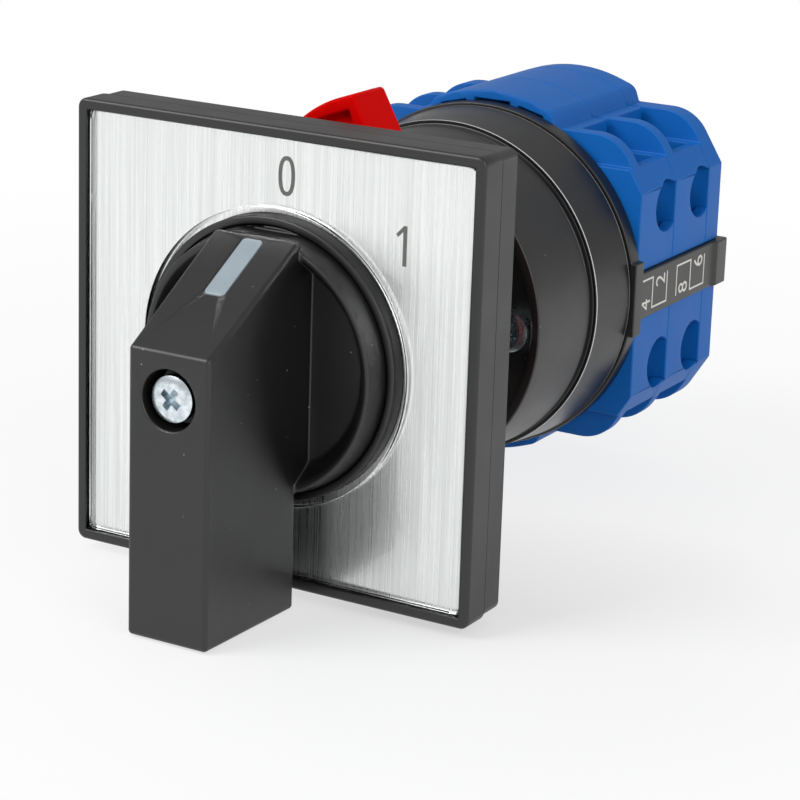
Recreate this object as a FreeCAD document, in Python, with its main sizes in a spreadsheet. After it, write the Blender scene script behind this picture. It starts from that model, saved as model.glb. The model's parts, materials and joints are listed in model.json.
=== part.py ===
"""Rotary cam switch for mounting in a panel, two positions, two contact stages.

Millimetres. The shaft lies along Y, the handle faces -Y and +Z is up. The origin
is on the shaft axis, in the face where the plate's gasket meets the panel.
Each piece is drawn from its own front face, y = 0, and then placed on the shaft.
"""
import FreeCAD, Part
import math
import os
import re
import Sketcher

os.makedirs("parts", exist_ok=True)
document = FreeCAD.newDocument("cam_switch")
sizes = document.addObject("Spreadsheet::Sheet", "sizes")

SIZES = [
    ("plate_side", 48.0, "width and height of the square bezel"),
    ("plate_depth", 6.8, "bezel from its front face to the panel"),
    ("plate_corner", 1.0, "corner radius of the bezel"),
    ("plate_lip", 1.15, "width of the lip round the window"),
    ("plate_step", 3.5, "depth of the parting step on the bezel's sides"),
    ("plate_relief", 0.15, "how far the rear half stands in behind the step"),
    ("plate_edge", 0.35, "rounding of the bezel's front edges"),
    ("rear_wall", 1.3, "wall round the gasket"),
    ("core_inner", 11.0, "inner side of the coring pockets in the bezel's back"),
    ("core_outer", 21.0, "outer side of the coring pockets"),
    ("web_thick", 1.8, "bezel web between dial plate and coring"),
    ("window_recess", 0.35, "window face below the lip"),
    ("window_thick", 1.2, "clear window"),
    ("window_hole", 15.6, "radius of the round hole in the window"),
    ("window_corner", 1.2, "corner radius of the window"),
    ("dial_thick", 0.5, "dial plate"),
    ("gasket_thick", 1.2, "panel gasket"),
    ("seat_gap", 0.05, "gap round pieces that drop into a recess"),
    ("running_gap", 0.05, "radial gap of a shaft in its bearing"),
    ("collar_radius", 14.85, "outside of the black collar round the knob"),
    ("collar_proud", 0.3, "collar in front of the bezel's face"),
    ("collar_floor", 1.0, "floor of the collar below the bezel's face"),
    ("skirt_gap", 0.1, "gap between knob and collar"),
    ("shank_radius", 11.6, "bushing inside the bezel"),
    ("register_radius", 11.1, "smooth part of the neck, which fills the panel's hole"),
    ("register_length", 1.9, "length of the smooth part behind the gasket"),
    ("neck_radius", 10.9, "threaded part of the neck"),
    ("neck_length", 10.2, "neck behind the panel face"),
    ("neck_bore", 8.5, "hollow end of the neck"),
    ("bearing_length", 12.5, "knob bearing, from the bezel's face"),
    ("nut_start", 2.1, "ring nut behind the panel face"),
    ("nut_length", 4.6, "ring nut"),
    ("nut_radius", 14.0, "outside of the ring nut"),
    ("nut_notches", 12, "grip notches round the nut"),
    ("notch_width", 2.4, "width of a grip notch"),
    ("notch_depth", 1.0, "depth of a grip notch"),
    ("knob_radius", 13.9, "knob at the collar"),
    ("rim_radius", 13.4, "knob at the front edge of its rim"),
    ("rim_width", 0.6, "flat top of the rim"),
    ("rim_height", 2.8, "front edge of the rim before the bezel's face"),
    ("dish_height", 0.3, "dished floor before the bezel's face"),
    ("dish_radius", 11.2, "where the dish starts to rise to the rim"),
    ("stem_radius", 5.0, "knob stem in its bearing"),
    ("stem_length", 11.5, "knob stem behind the bezel's face"),
    ("blade_height", 17.8, "blade's face before the bezel's face"),
    ("blade_width", 9.4, "blade at its face"),
    ("blade_draft", 0.4, "how much further each side of the blade stands out at the dish"),
    ("blade_top", 4.7, "upper edge of the blade's face"),
    ("blade_bottom", 25.0, "lower edge of the blade, below the shaft"),
    ("blade_clear", 2.5, "blade's back before the bezel's face"),
    ("blade_edge", 0.5, "rounding of the blade's edges"),
    ("inlay_width", 2.4, "pointer inlay"),
    ("inlay_length", 8.3, "pointer inlay along the slope"),
    ("inlay_start", 8.6, "pointer inlay from the slope's lower edge"),
    ("inlay_depth", 0.6, "pointer inlay into the slope"),
    ("inlay_corner", 0.5, "corner radius of the pointer inlay"),
    ("sink_radius", 3.1, "screw recess in the blade"),
    ("sink_depth", 3.2, "depth of the screw recess"),
    ("screw_head", 2.35, "head radius of the knob screw"),
    ("screw_head_depth", 1.9, "head height of the knob screw"),
    ("screw_shank", 1.5, "shank radius of the knob screw"),
    ("screw_length", 8.0, "knob screw below its head"),
    ("socket_wall", 1.6, "knob material between screw recess and spindle"),
    ("spindle_side", 5.0, "square spindle"),
    ("tail_radius", 2.2, "round end of the spindle"),
    ("tail_length", 2.4, "length of the round end"),
    ("tail_gap", 0.3, "end of the square in front of the end cover"),
    ("collar_start", 7.0, "latch collar behind the panel face"),
    ("lip_radius", 12.9, "lip that keeps the lock lever on its collar"),
    ("lip_length", 0.5, "length of that lip"),
    ("lever_seat", 12.2, "latch collar where the lock lever turns"),
    ("flange_radius", 15.2, "flange behind the lock lever"),
    ("flange_thick", 1.2, "thickness of that flange"),
    ("waist_radius", 11.5, "latch collar at the housing"),
    ("waist_bore", 8.6, "bore behind the neck"),
    ("lever_thick", 3.1, "ring of the lock lever"),
    ("lever_radius", 15.2, "outside of the lock lever's ring"),
    ("lever_gap", 0.1, "end play of the lock lever"),
    ("root_left", 4.6, "left side of the paddle's root, from the shaft"),
    ("root_right", 3.0, "right side of the root"),
    ("paddle_foot", 20.6, "underside of the paddle"),
    ("paddle_left", 6.3, "left end of the underside, from the shaft"),
    ("paddle_right", 4.7, "right end of the underside, from the shaft"),
    ("paddle_bend", 2.3, "bend of the paddle's upper side, left of the shaft"),
    ("paddle_rise", 24.3, "height of that bend"),
    ("paddle_peak", 1.9, "upper corner of the paddle, right of the shaft"),
    ("paddle_top", 25.7, "height of that corner"),
    ("paddle_forward", 2.6, "paddle in front of its ring"),
    ("paddle_behind", 0.6, "paddle behind its ring"),
    ("paddle_round", 14.0, "rounding of the bend"),
    ("paddle_corner", 0.5, "rounding of the paddle's corners"),
    ("grip_depth", 1.0, "hollow in the front of the paddle"),
    ("grip_foot", 21.4, "lower edge of the hollow"),
    ("grip_left", 4.4, "left corner of the hollow"),
    ("grip_right", 2.6, "right corner of the hollow"),
    ("grip_bend", 1.3, "bend of the hollow's upper edge"),
    ("grip_rise", 22.95, "height of that bend"),
    ("grip_peak", 1.45, "upper corner of the hollow"),
    ("grip_top", 24.0, "height of that corner"),
    ("panel_gap", 17.7, "housing's front rim behind the panel face"),
    ("housing_depth", 19.0, "round housing"),
    ("housing_front", 18.0, "radius of the housing's front rim"),
    ("housing_step", 18.4, "radius of the housing before the groove"),
    ("groove_width", 0.8, "width of the groove"),
    ("groove_depth", 0.5, "depth of the groove"),
    ("band_seat", 18.6, "radius under the label band's front edge"),
    ("band_rear", 19.25, "radius under the label band's rear edge"),
    ("band_thick", 0.25, "label band"),
    ("band_width", 7.2, "label band"),
    ("band_gap", 0.1, "label band in front of the base plate"),
    ("front_recess", 0.8, "housing's front face behind its rim"),
    ("front_rim", 1.1, "width of that rim"),
    ("front_wall", 1.6, "front wall of the housing"),
    ("cavity_radius", 17.0, "inside of the housing"),
    ("housing_bore", 6.2, "hole for the spindle"),
    ("tie_offset", 14.6, "tie screws from the shaft"),
    ("tie_radius", 1.5, "tie screw"),
    ("tie_head", 2.2, "head radius of a tie screw"),
    ("tie_head_depth", 1.5, "head height of a tie screw"),
    ("tie_over", 0.8, "tie screw beyond its nut's front face"),
    ("boss_radius", 2.7, "boss round a tie screw"),
    ("star_thick", 4.4, "star wheel"),
    ("star_radius", 9.0, "star wheel over its points"),
    ("star_valleys", 8, "valleys of the star wheel, one each 45 degrees"),
    ("valley_radius", 2.0, "radius of a valley"),
    ("valley_floor", 7.8, "star wheel at the floor of a valley"),
    ("lug_radius", 10.6, "outside of the stop lug"),
    ("hub_radius", 6.5, "hub of the stop lug"),
    ("lug_length", 5.0, "length of lug and hub behind the star"),
    ("lug_clear", 1.1, "lug in front of the base plate"),
    ("lug_angle", 12, "half the lug's angle"),
    ("stop_angle", 16, "angle of a stop"),
    ("stop_play", 1, "angle between lug and stop at each end"),
    ("stop_inner", 7.4, "inside of the stops"),
    ("stop_outer", 11.6, "outside of the stops"),
    ("stop_height", 4.6, "height of the stops on the base plate"),
    ("turn_angle", 45, "angle from position 0 to position 1"),
    ("leaf_width", 4.0, "detent spring along the shaft"),
    ("leaf_thick", 0.4, "detent spring"),
    ("leaf_offset", 9.7, "detent spring from the shaft"),
    ("leaf_reach", 11.0, "half the detent spring's height"),
    ("leaf_nose", 8.1, "nose of the detent spring from the shaft"),
    ("nose_flat", 0.4, "half the flat of the nose"),
    ("nose_root", 1.8, "half the nose at its root"),
    ("post_height", 2.6, "posts that hold the detent springs"),
    ("post_width", 1.5, "width of such a post"),
    ("post_over", 0.6, "posts beyond the spring's ends"),
    ("base_thick", 2.0, "base plate of the housing"),
    ("base_radius", 19.8, "outside of the base plate"),
    ("tongue_width", 8.4, "tongue of the base plate over the number strip"),
    ("tongue_reach", 20.0, "tongue from the shaft"),
    ("stage_pitch", 9.0, "depth of one contact stage"),
    ("side_reach", 19.2, "flat side of a stage from the shaft"),
    ("side_height", 11.7, "half the height of the flat side"),
    ("shoulder_height", 14.2, "top of the shoulder, where the wire pocket opens"),
    ("wing_top", 17.6, "top of the quarter-round walls"),
    ("wing_corner", 15.5, "corner of the quarter-round walls before rounding"),
    ("wing_round", 5.0, "rounding of the quarter-round walls"),
    ("hood_base", 8.2, "hood at its foot"),
    ("hood_corner", 7.6, "hood at its shoulder"),
    ("hood_shoulder", 19.3, "height of the hood's shoulder"),
    ("hood_top", 20.95, "top of the hood"),
    ("hood_round", 1.6, "rounding of the hood's shoulders"),
    ("hood_crown", 17.0, "rounding of the hood along its top"),
    ("hood_ridge", 1.05, "ridge above the hood's top before its crown is rounded"),
    ("hood_wall", 1.35, "wall of the hood"),
    ("hood_room", 6.5, "half the width of the chamber inside the hood"),
    ("hood_foot", 16.2, "where the contact chamber narrows into the hood"),
    ("window_depth", 2.2, "recesses in the hood's front"),
    ("window_rib", 1.1, "rib between two recesses"),
    ("window_middle", 2.25, "half the width of the middle recess"),
    ("window_outer", 6.5, "outer side of the outer recesses"),
    ("window_top", 19.9, "top of the middle recess"),
    ("window_fall", 1.1, "slope of the outer recesses' tops"),
    ("ledge_depth", 0.7, "step in front of each quarter-round wall"),
    ("wall_thick", 2.4, "front wall of a stage beside the hood"),
    ("chamber_wall", 3.6, "front wall of a stage under the hood"),
    ("cam_room", 8.8, "radius of the cam's chamber"),
    ("guide_gap", 0.1, "gap on each side of a plunger"),
    ("guide_wall", 1.8, "guide beside a plunger"),
    ("guide_height", 12.2, "top of the plunger's guides"),
    ("contact_room", 8.6, "half the width of the contact chamber"),
    ("room_floor", 10.2, "floor of the contact chamber"),
    ("pocket_inner", 10.2, "inner side of the terminal pocket"),
    ("pocket_floor", 5.2, "floor of the terminal pocket"),
    ("pocket_rim", 16.3, "outer side of the wire pocket at its mouth"),
    ("rim_drop", 0.6, "pocket's outer corner below the edge of the flat side"),
    ("outer_wall", 1.5, "wall outside the terminal pocket"),
    ("hole_radius", 2.95, "screwdriver hole"),
    ("hole_offset", 1.95, "screwdriver hole's centre before the seam"),
    ("terminal_height", 9.2, "terminal screws above the shaft"),
    ("terminal_offset", 3.0, "terminal screws before the seam"),
    ("terminal_head", 2.5, "head radius of a terminal screw"),
    ("terminal_head_depth", 1.8, "head height of a terminal screw"),
    ("terminal_shank", 1.5, "terminal screw"),
    ("clamp_thick", 0.9, "clamp plate"),
    ("clamp_height", 5.6, "clamp plate"),
    ("clamp_gap", 2.0, "room for the wire under the clamp plate"),
    ("contact_thick", 0.8, "contact strip"),
    ("leg_thick", 1.2, "upright leg of a fixed contact"),
    ("contact_width", 4.4, "contact strip along the shaft"),
    ("contact_tip", 5.2, "inner end of a fixed contact"),
    ("arm_clear", 0.2, "fixed contact's arm above the chamber's floor"),
    ("leg_rise", 1.1, "leg above the fixed contact's arm"),
    ("leg_bottom", 6.2, "foot of the fixed contact's leg"),
    ("button_offset", 6.7, "contact buttons from the plunger"),
    ("button_radius", 1.3, "contact buttons"),
    ("button_height", 0.75, "fixed button"),
    ("bridge_button", 0.6, "moving button"),
    ("contact_play", 0.05, "closed contact, kept apart by this much"),
    ("bridge_reach", 8.2, "half the contact bridge"),
    ("cam_high", 8.0, "cam radius that holds a contact open"),
    ("cam_travel", 2.0, "drop of the cam and travel of a plunger"),
    ("cam_thick", 4.6, "cam"),
    ("cam_run", 8, "degrees that the cam's ramp runs on past each end"),
    ("cam_dwell", 50, "degrees that the cam stays low"),
    ("cam_gap", 0.15, "gap between cam and plunger"),
    ("cam_side", 0.4, "gap between cam and front wall"),
    ("plunger_width", 5.0, "plunger"),
    ("plunger_thick", 5.2, "plunger along the shaft"),
    ("nose_radius", 0.8, "nose of the plunger"),
    ("nose_height", 1.3, "nose of the plunger"),
    ("nose_round", 0.36, "rounding of the nose"),
    ("post_radius", 1.3, "post of the plunger inside its spring"),
    ("post_length", 2.2, "post above the plunger's shoulder"),
    ("spring_radius", 1.9, "contact spring, mean"),
    ("spring_wire", 0.5, "wire of the contact spring"),
    ("spring_turns", 4, "turns of the contact spring"),
    ("cover_thick", 3.5, "end cover"),
    ("bearing_depth", 2.6, "blind bearing in the end cover"),
    ("nut_pocket", 3.0, "hexagon pocket for a tie nut, across corners / 2"),
    ("nut_sink", 1.6, "depth of that pocket"),
    ("strip_groove", 0.5, "number strip let into the stages"),
    ("strip_thick", 1.0, "number strip"),
    ("strip_width", 5.3, "number strip"),
    ("hook_length", 1.2, "hook behind the end cover"),
    ("hook_rise", 0.4, "raised end of the number strip"),
    ("hook_bite", 1.3, "hook over the end cover's edge"),
    ("hook_front", 2.4, "start of the raised end before the cover's back"),
    ("hook_ramp", 0.6, "ramp up to the raised end"),
    ("hook_slant", 0.5, "bevel at the hook's outer corner"),
    ("hook_edge", 0.2, "end of that bevel above the strip's face"),
]

for row, (name, value, note) in enumerate(SIZES, start=1):
    sizes.set(f"A{row}", note)
    sizes.set(f"B{row}", str(value))
    sizes.setAlias(f"B{row}", name)
document.recompute()

SIZE_NAME = re.compile(r"[a-z]+(?:_[a-z]+)+")
working = document.addObject("Spreadsheet::Sheet", "working")
known = {}


def from_sheet(formula):
    """Names the sheet before each size in a formula."""
    return SIZE_NAME.sub(r"sizes.\g<0>", str(formula))


def number(formula):
    """Works a formula out in the cell of a second sheet."""
    if formula not in known:
        working.set("A1", f"={from_sheet(formula)}")
        working.recompute()
        known[formula] = float(working.get("A1"))
    return known[formula]


def bind(thing, place, formula):
    """Ties one dimension of a thing to the sheet."""
    thing.setExpression(place, from_sheet(formula))


def new_body(label, station="0"):
    """Starts a piece whose front face lies at the station on the shaft."""
    body = document.addObject("PartDesign::Body", label)
    body.Label = label
    bind(body, ".Placement.Base.y", station)
    return body


def new_sketch(body, plane, height="0"):
    """Puts a sketch on one of the body's own planes, moved along +X, +Y or +Z."""
    sketch = body.newObject("Sketcher::SketchObject", "sketch")
    origin = next(item for item in body.Origin.OriginFeatures if item.Role == plane)
    sketch.AttachmentSupport = [(origin, "")]
    sketch.MapMode = "FlatFace"
    sign = "-" if plane == "XZ_Plane" else ""
    bind(sketch, ".AttachmentOffset.Base.z", f"{sign}({height})")
    return sketch


def place_point(sketch, geometry, point, across, up):
    """Holds a point of the sketch at two formulas."""
    for kind, formula in (("DistanceX", across), ("DistanceY", up)):
        rule = Sketcher.Constraint(kind, geometry, point, number(formula))
        bind(sketch, f"Constraints[{sketch.addConstraint(rule)}]", formula)


def outline(sketch, corners):
    """Draws a closed outline through corners that are pairs of formulas."""
    points = [FreeCAD.Vector(number(across), number(up), 0) for across, up in corners]
    first = sketch.GeometryCount
    count = len(corners)
    for index, point in enumerate(points):
        sketch.addGeometry(Part.LineSegment(point, points[(index + 1) % count]), False)
    for index, (across, up) in enumerate(corners):
        after = first + (index + 1) % count
        sketch.addConstraint(Sketcher.Constraint("Coincident", first + index, 2, after, 1))
        place_point(sketch, first + index, 1, across, up)


def rectangle(sketch, left, right, bottom, top):
    outline(sketch, [(left, bottom), (right, bottom), (right, top), (left, top)])


def square(sketch, half):
    rectangle(sketch, f"-({half})", half, f"-({half})", half)


def circle(sketch, across, up, radius):
    centre = FreeCAD.Vector(number(across), number(up), 0)
    ring = sketch.addGeometry(Part.Circle(centre, FreeCAD.Vector(0, 0, 1), number(radius)), False)
    place_point(sketch, ring, 3, across, up)
    rule = sketch.addConstraint(Sketcher.Constraint("Radius", ring, number(radius)))
    bind(sketch, f"Constraints[{rule}]", radius)


def pad(body, sketch, length, forward=False, middle=False):
    """Pads away from the sketch's plane, toward +Y from an XZ plane unless forward."""
    feature = body.newObject("PartDesign::Pad", "pad")
    feature.Profile = sketch
    bind(feature, "Length", length)
    feature.Reversed = not forward
    feature.Midplane = middle
    document.recompute()
    return feature


def pocket(body, sketch, depth, turned=False, middle=False):
    """Cuts toward +Y from an XZ plane unless turned, and makes sure that it cut."""
    document.recompute()
    before = body.Shape.Volume
    feature = body.newObject("PartDesign::Pocket", "pocket")
    feature.Profile = sketch
    bind(feature, "Length", depth)
    feature.Reversed = turned
    feature.Midplane = middle
    document.recompute()
    if body.Shape.Volume >= before - 1e-6:
        raise RuntimeError(f"a pocket of {body.Label} cuts nothing")
    return feature


def turned_piece(body, corners, groove=False):
    """Revolves an outline of radius and depth round the shaft."""
    sketch = new_sketch(body, "XY_Plane")
    outline(sketch, corners)
    kind = "PartDesign::Groove" if groove else "PartDesign::Revolution"
    before = 0 if not groove else body.Shape.Volume
    feature = body.newObject(kind, "turning")
    feature.Profile = sketch
    feature.ReferenceAxis = (sketch, ["V_Axis"])
    feature.Angle = 360
    document.recompute()
    if groove and body.Shape.Volume >= before - 1e-6:
        raise RuntimeError(f"a groove of {body.Label} cuts nothing")
    return feature


def fillet(body, radius, chosen):
    """Rounds the edges that chosen accepts by their middle point and direction."""
    document.recompute()
    tip = body.Tip
    names = []
    for index, edge in enumerate(tip.Shape.Edges, start=1):
        ends = [vertex.Point for vertex in edge.Vertexes]
        if len(ends) == 2 and chosen((ends[0] + ends[1]) / 2, (ends[1] - ends[0]).normalize()):
            names.append(f"Edge{index}")
    feature = body.newObject("PartDesign::Fillet", "fillet")
    feature.Base = (tip, names)
    bind(feature, "Radius", radius)
    document.recompute()
    return feature


def near(value, formula):
    return abs(value - number(formula)) < 0.01


def along_shaft(direction):
    return abs(abs(direction.y) - 1) < 1e-6


def through_all_ways(label, source, station):
    """One node with the source and its mirror images left, below and both."""
    mirrored = document.addObject("Part::Mirroring", f"{label}_left")
    mirrored.Source = source
    mirrored.Normal = (1, 0, 0)
    pair = document.addObject("Part::Compound", f"{label}_pair")
    pair.Links = [source, mirrored]
    lower = document.addObject("Part::Mirroring", f"{label}_lower")
    lower.Source = pair
    lower.Normal = (0, 0, 1)
    group = document.addObject("Part::Compound", label)
    group.Label = label
    group.Links = [pair, lower]
    bind(group, ".Placement.Base.y", station)
    return group


pieces = []

FRONT = "-plate_depth"
HOUSING = "panel_gap"
BASE = "(panel_gap + housing_depth)"
STACK = "(panel_gap + housing_depth + base_thick)"
COVER = "(panel_gap + housing_depth + base_thick + 2 * stage_pitch)"
DIAL = "(window_recess + window_thick)"
WEB = "(window_recess + window_thick + dial_thick)"
STAR = "(housing_depth - lug_clear - lug_length - star_thick)"
GROOVE = "(housing_depth - band_gap - band_width - groove_width)"
ARM = "(room_floor + arm_clear)"
LEG_TOP = f"({ARM} + contact_thick + leg_rise)"
OPENING = "(plate_side / 2 - plate_lip)"
GASKET = "(plate_side / 2 - plate_relief - rear_wall)"

# Bezel frame: a square moulding, cored from behind, with a seat for window and dial.
bezel = new_body("bezel_frame", FRONT)
front_half = new_sketch(bezel, "XZ_Plane")
square(front_half, "plate_side / 2")
pad(bezel, front_half, "plate_step")
rear_half = new_sketch(bezel, "XZ_Plane", "plate_step")
square(rear_half, "plate_side / 2 - plate_relief")
pad(bezel, rear_half, "plate_depth - plate_step")
fillet(bezel, "plate_corner", lambda middle, way: along_shaft(way))
fillet(bezel, "plate_edge", lambda middle, way: near(middle.y, "0"))
seat = new_sketch(bezel, "XZ_Plane")
square(seat, OPENING)
pocket(bezel, seat, WEB)
gasket_seat = new_sketch(bezel, "XZ_Plane", "plate_depth")
square(gasket_seat, GASKET)
pocket(bezel, gasket_seat, "gasket_thick", turned=True)
coring = new_sketch(bezel, "XZ_Plane", "plate_depth - gasket_thick")
for across in (1, -1):
    for up in (1, -1):
        near_corner = (f"{across} * core_inner", f"{up} * core_inner")
        far_corner = (f"{across} * core_outer", f"{up} * core_outer")
        outline(coring, [
            near_corner, (far_corner[0], near_corner[1]), far_corner, (near_corner[0], far_corner[1]),
        ])
pocket(bezel, coring, f"plate_depth - gasket_thick - {WEB} - web_thick", turned=True)
neck_hole = new_sketch(bezel, "XZ_Plane")
circle(neck_hole, "0", "0", "shank_radius")
pocket(bezel, neck_hole, "plate_depth")
pieces.append(bezel)

# Dial plate: thin aluminium sheet under the window.
dial = new_body("dial_plate", f"{DIAL} - plate_depth")
dial_sketch = new_sketch(dial, "XZ_Plane")
square(dial_sketch, f"{OPENING} - seat_gap")
circle(dial_sketch, "0", "0", "collar_radius + seat_gap")
pad(dial, dial_sketch, "dial_thick")
pieces.append(dial)

# Clear window: rounded at its corners, with a wide round hole.
window = new_body("clear_window", "window_recess - plate_depth")
window_sketch = new_sketch(window, "XZ_Plane")
square(window_sketch, f"{OPENING} - seat_gap")
circle(window_sketch, "0", "0", "window_hole")
pad(window, window_sketch, "window_thick")
fillet(window, "window_corner", lambda middle, way: (
    along_shaft(way) and abs(middle.x) > number("window_hole")
))
pieces.append(window)

# Panel gasket: flat square washer, its back is the face that meets the panel.
gasket = new_body("panel_gasket", "-gasket_thick")
gasket_sketch = new_sketch(gasket, "XZ_Plane")
square(gasket_sketch, f"{GASKET} - seat_gap")
circle(gasket_sketch, "0", "0", "shank_radius + seat_gap")
pad(gasket, gasket_sketch, "gasket_thick")
pieces.append(gasket)

# Front bushing: the collar round the knob and the neck through the panel, turned in one.
bushing = new_body("front_bushing", FRONT)
BORE = "stem_radius + running_gap"
RECESS = "knob_radius + skirt_gap"
turned_piece(bushing, [
    (BORE, "collar_floor"),
    (RECESS, "collar_floor"),
    (RECESS, "-collar_proud"),
    ("collar_radius", "-collar_proud"),
    ("collar_radius", WEB),
    ("shank_radius", WEB),
    ("shank_radius", "plate_depth"),
    ("register_radius", "plate_depth"),
    ("register_radius", "plate_depth + register_length"),
    ("neck_radius", "plate_depth + register_length"),
    ("neck_radius", "plate_depth + neck_length"),
    ("neck_bore", "plate_depth + neck_length"),
    ("neck_bore", "bearing_length"),
    (BORE, "bearing_length"),
])
pieces.append(bushing)

# Ring nut: pulls the bezel against the panel from behind.
nut = new_body("ring_nut", "nut_start")
nut_sketch = new_sketch(nut, "XZ_Plane")
circle(nut_sketch, "0", "0", "nut_radius")
circle(nut_sketch, "0", "0", "neck_radius")
pad(nut, nut_sketch, "nut_length")
notch_sketch = new_sketch(nut, "XZ_Plane")
rectangle(
    notch_sketch, "-notch_width / 2", "notch_width / 2",
    "nut_radius - notch_depth", "nut_radius + notch_depth",
)
notch = pocket(nut, notch_sketch, "nut_length")
notches = nut.newObject("PartDesign::PolarPattern", "notches")
notches.Originals = [notch]
notches.Axis = (notch_sketch, ["N_Axis"])
notches.Angle = 360
bind(notches, "Occurrences", "nut_notches")
nut.Tip = notches
pieces.append(nut)

# Knob: a dished disc with a rim, a deep blade across it and a square-bored stem.
knob = new_body("knob", FRONT)
turned_piece(knob, [
    ("0", "collar_floor - skirt_gap"),
    ("knob_radius", "collar_floor - skirt_gap"),
    ("knob_radius", "-collar_proud"),
    ("rim_radius", "-rim_height"),
    ("rim_radius - rim_width", "-rim_height"),
    ("dish_radius", "-dish_height"),
    ("0", "-dish_height"),
])
SLOPE_RUN = "(blade_height - rim_height)"
SLOPE_RISE = "(rim_radius - blade_top)"
FOOT = "blade_width / 2 + blade_draft"
CLEAR_SHARE = "(blade_clear - rim_height) / (collar_proud - rim_height)"
CLEAR_RADIUS = f"rim_radius + (knob_radius - rim_radius) * {CLEAR_SHARE}"
foot_sketch = new_sketch(knob, "XZ_Plane", "0")
rectangle(
    foot_sketch, f"-({FOOT})", FOOT, "-blade_bottom",
    f"blade_top + {SLOPE_RISE} / {SLOPE_RUN} * blade_height",
)
face_sketch = new_sketch(knob, "XZ_Plane", "-blade_height")
rectangle(face_sketch, "-blade_width / 2", "blade_width / 2", "-blade_bottom", "blade_top")
blade = knob.newObject("PartDesign::AdditiveLoft", "blade")
blade.Profile = foot_sketch
blade.Sections = [face_sketch]
blade.Ruled = True
document.recompute()
SIDE_OF_BLADE = number("blade_width / 2") - 0.01
fillet(knob, "blade_edge", lambda middle, way: (
    near(middle.y, "-blade_height")
    or (abs(middle.x) > SIDE_OF_BLADE and abs(way.y) > 0.5 and middle.y < -number("rim_height"))
))
turned_piece(knob, [
    ("knob_radius", "2 * collar_floor"),
    ("knob_radius", "-collar_proud"),
    (CLEAR_RADIUS, "-blade_clear"),
    ("2 * blade_bottom", "-blade_clear"),
    ("2 * blade_bottom", "2 * collar_floor"),
], groove=True)
slope_top = new_sketch(knob, "XZ_Plane", "-rim_height")
rectangle(slope_top, "-blade_width", "blade_width", "rim_radius", "2 * rim_radius")
pocket(knob, slope_top, "rim_height")
stem = new_sketch(knob, "XZ_Plane", "-dish_height")
circle(stem, "0", "0", "stem_radius")
pad(knob, stem, "stem_length + dish_height")
SOCKET = "(socket_wall + sink_depth - blade_height)"
socket = new_sketch(knob, "XZ_Plane", SOCKET)
square(socket, "spindle_side / 2")
pocket(knob, socket, f"stem_length - {SOCKET}")
sink = new_sketch(knob, "XZ_Plane", "-blade_height")
circle(sink, "0", "0", "sink_radius")
pocket(knob, sink, "sink_depth")
screw_hole = new_sketch(knob, "XZ_Plane", "sink_depth - blade_height")
circle(screw_hole, "0", "0", "screw_shank")
pocket(knob, screw_hole, "socket_wall")


def slope_point(distance, depth):
    """A point in the YZ plane, along the blade's slope and below its face."""
    length = f"sqrt({SLOPE_RUN}^2 + {SLOPE_RISE}^2)"
    back = f"-blade_height + (({distance}) * {SLOPE_RUN} + ({depth}) * {SLOPE_RISE}) / {length}"
    up = f"blade_top + (({distance}) * {SLOPE_RISE} - ({depth}) * {SLOPE_RUN}) / {length}"
    return back, up


def inlay_outline(sketch, top):
    far = "inlay_start + inlay_length"
    outline(sketch, [
        slope_point("inlay_start", top),
        slope_point("inlay_start", "inlay_depth"),
        slope_point(far, "inlay_depth"),
        slope_point(far, top),
    ])


def across_slope(middle, way):
    """Edges square to the slope, at the inlay's corners."""
    rise = number(f"{SLOPE_RUN} / sqrt({SLOPE_RUN}^2 + {SLOPE_RISE}^2)")
    return abs(abs(way.z) - rise) < 1e-4 and abs(abs(middle.x) - number("inlay_width / 2")) < 1e-4


inlay_recess = new_sketch(knob, "YZ_Plane")
inlay_outline(inlay_recess, "-inlay_depth")
pocket(knob, inlay_recess, "inlay_width", middle=True)
fillet(knob, "inlay_corner", across_slope)
pieces.append(knob)

# Pointer inlay: pale bar let into the slope, flush with it.
inlay = new_body("pointer_inlay", FRONT)
inlay_sketch = new_sketch(inlay, "YZ_Plane")
inlay_outline(inlay_sketch, "0")
pad(inlay, inlay_sketch, "inlay_width", middle=True)
fillet(inlay, "inlay_corner", across_slope)
pieces.append(inlay)


# Proportions of a screw's head, its cross recess and its point.
HEAD_FACE = 0.8
HEAD_BEVEL = 0.35
CROSS_REACH = 0.62
CROSS_RIB = 0.13
CROSS_DEPTH = 0.55
POINT_LENGTH = 0.4
POINT_TIP = 0.6


def screw(label, head, head_depth, shank, length):
    """A screw along +Y with its face at y = 0 and a cross recess in the head."""
    body = new_body(label)
    turned_piece(body, [
        ("0", "0"),
        (f"{head} * {HEAD_FACE}", "0"),
        (head, f"{head_depth} * {HEAD_BEVEL}"),
        (head, head_depth),
        (shank, head_depth),
        (shank, f"{head_depth} + {length} - {shank} * {POINT_LENGTH}"),
        (f"{shank} * {POINT_TIP}", f"{head_depth} + {length}"),
        ("0", f"{head_depth} + {length}"),
    ])
    cross = new_sketch(body, "XZ_Plane")
    arm = f"{head} * {CROSS_REACH}"
    rib = f"{head} * {CROSS_RIB}"
    outline(cross, [
        (f"-{arm}", f"-{rib}"), (f"-{rib}", f"-{rib}"), (f"-{rib}", f"-{arm}"), (rib, f"-{arm}"),
        (rib, f"-{rib}"), (arm, f"-{rib}"), (arm, rib), (rib, rib),
        (rib, arm), (f"-{rib}", arm), (f"-{rib}", rib), (f"-{arm}", rib),
    ])
    pocket(body, cross, f"{head_depth} * {CROSS_DEPTH}")
    return body


knob_screw = screw("knob_screw", "screw_head", "screw_head_depth", "screw_shank", "screw_length")
bind(knob_screw, ".Placement.Base.y", "sink_depth - screw_head_depth - blade_height - plate_depth")
pieces.append(knob_screw)

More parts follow.
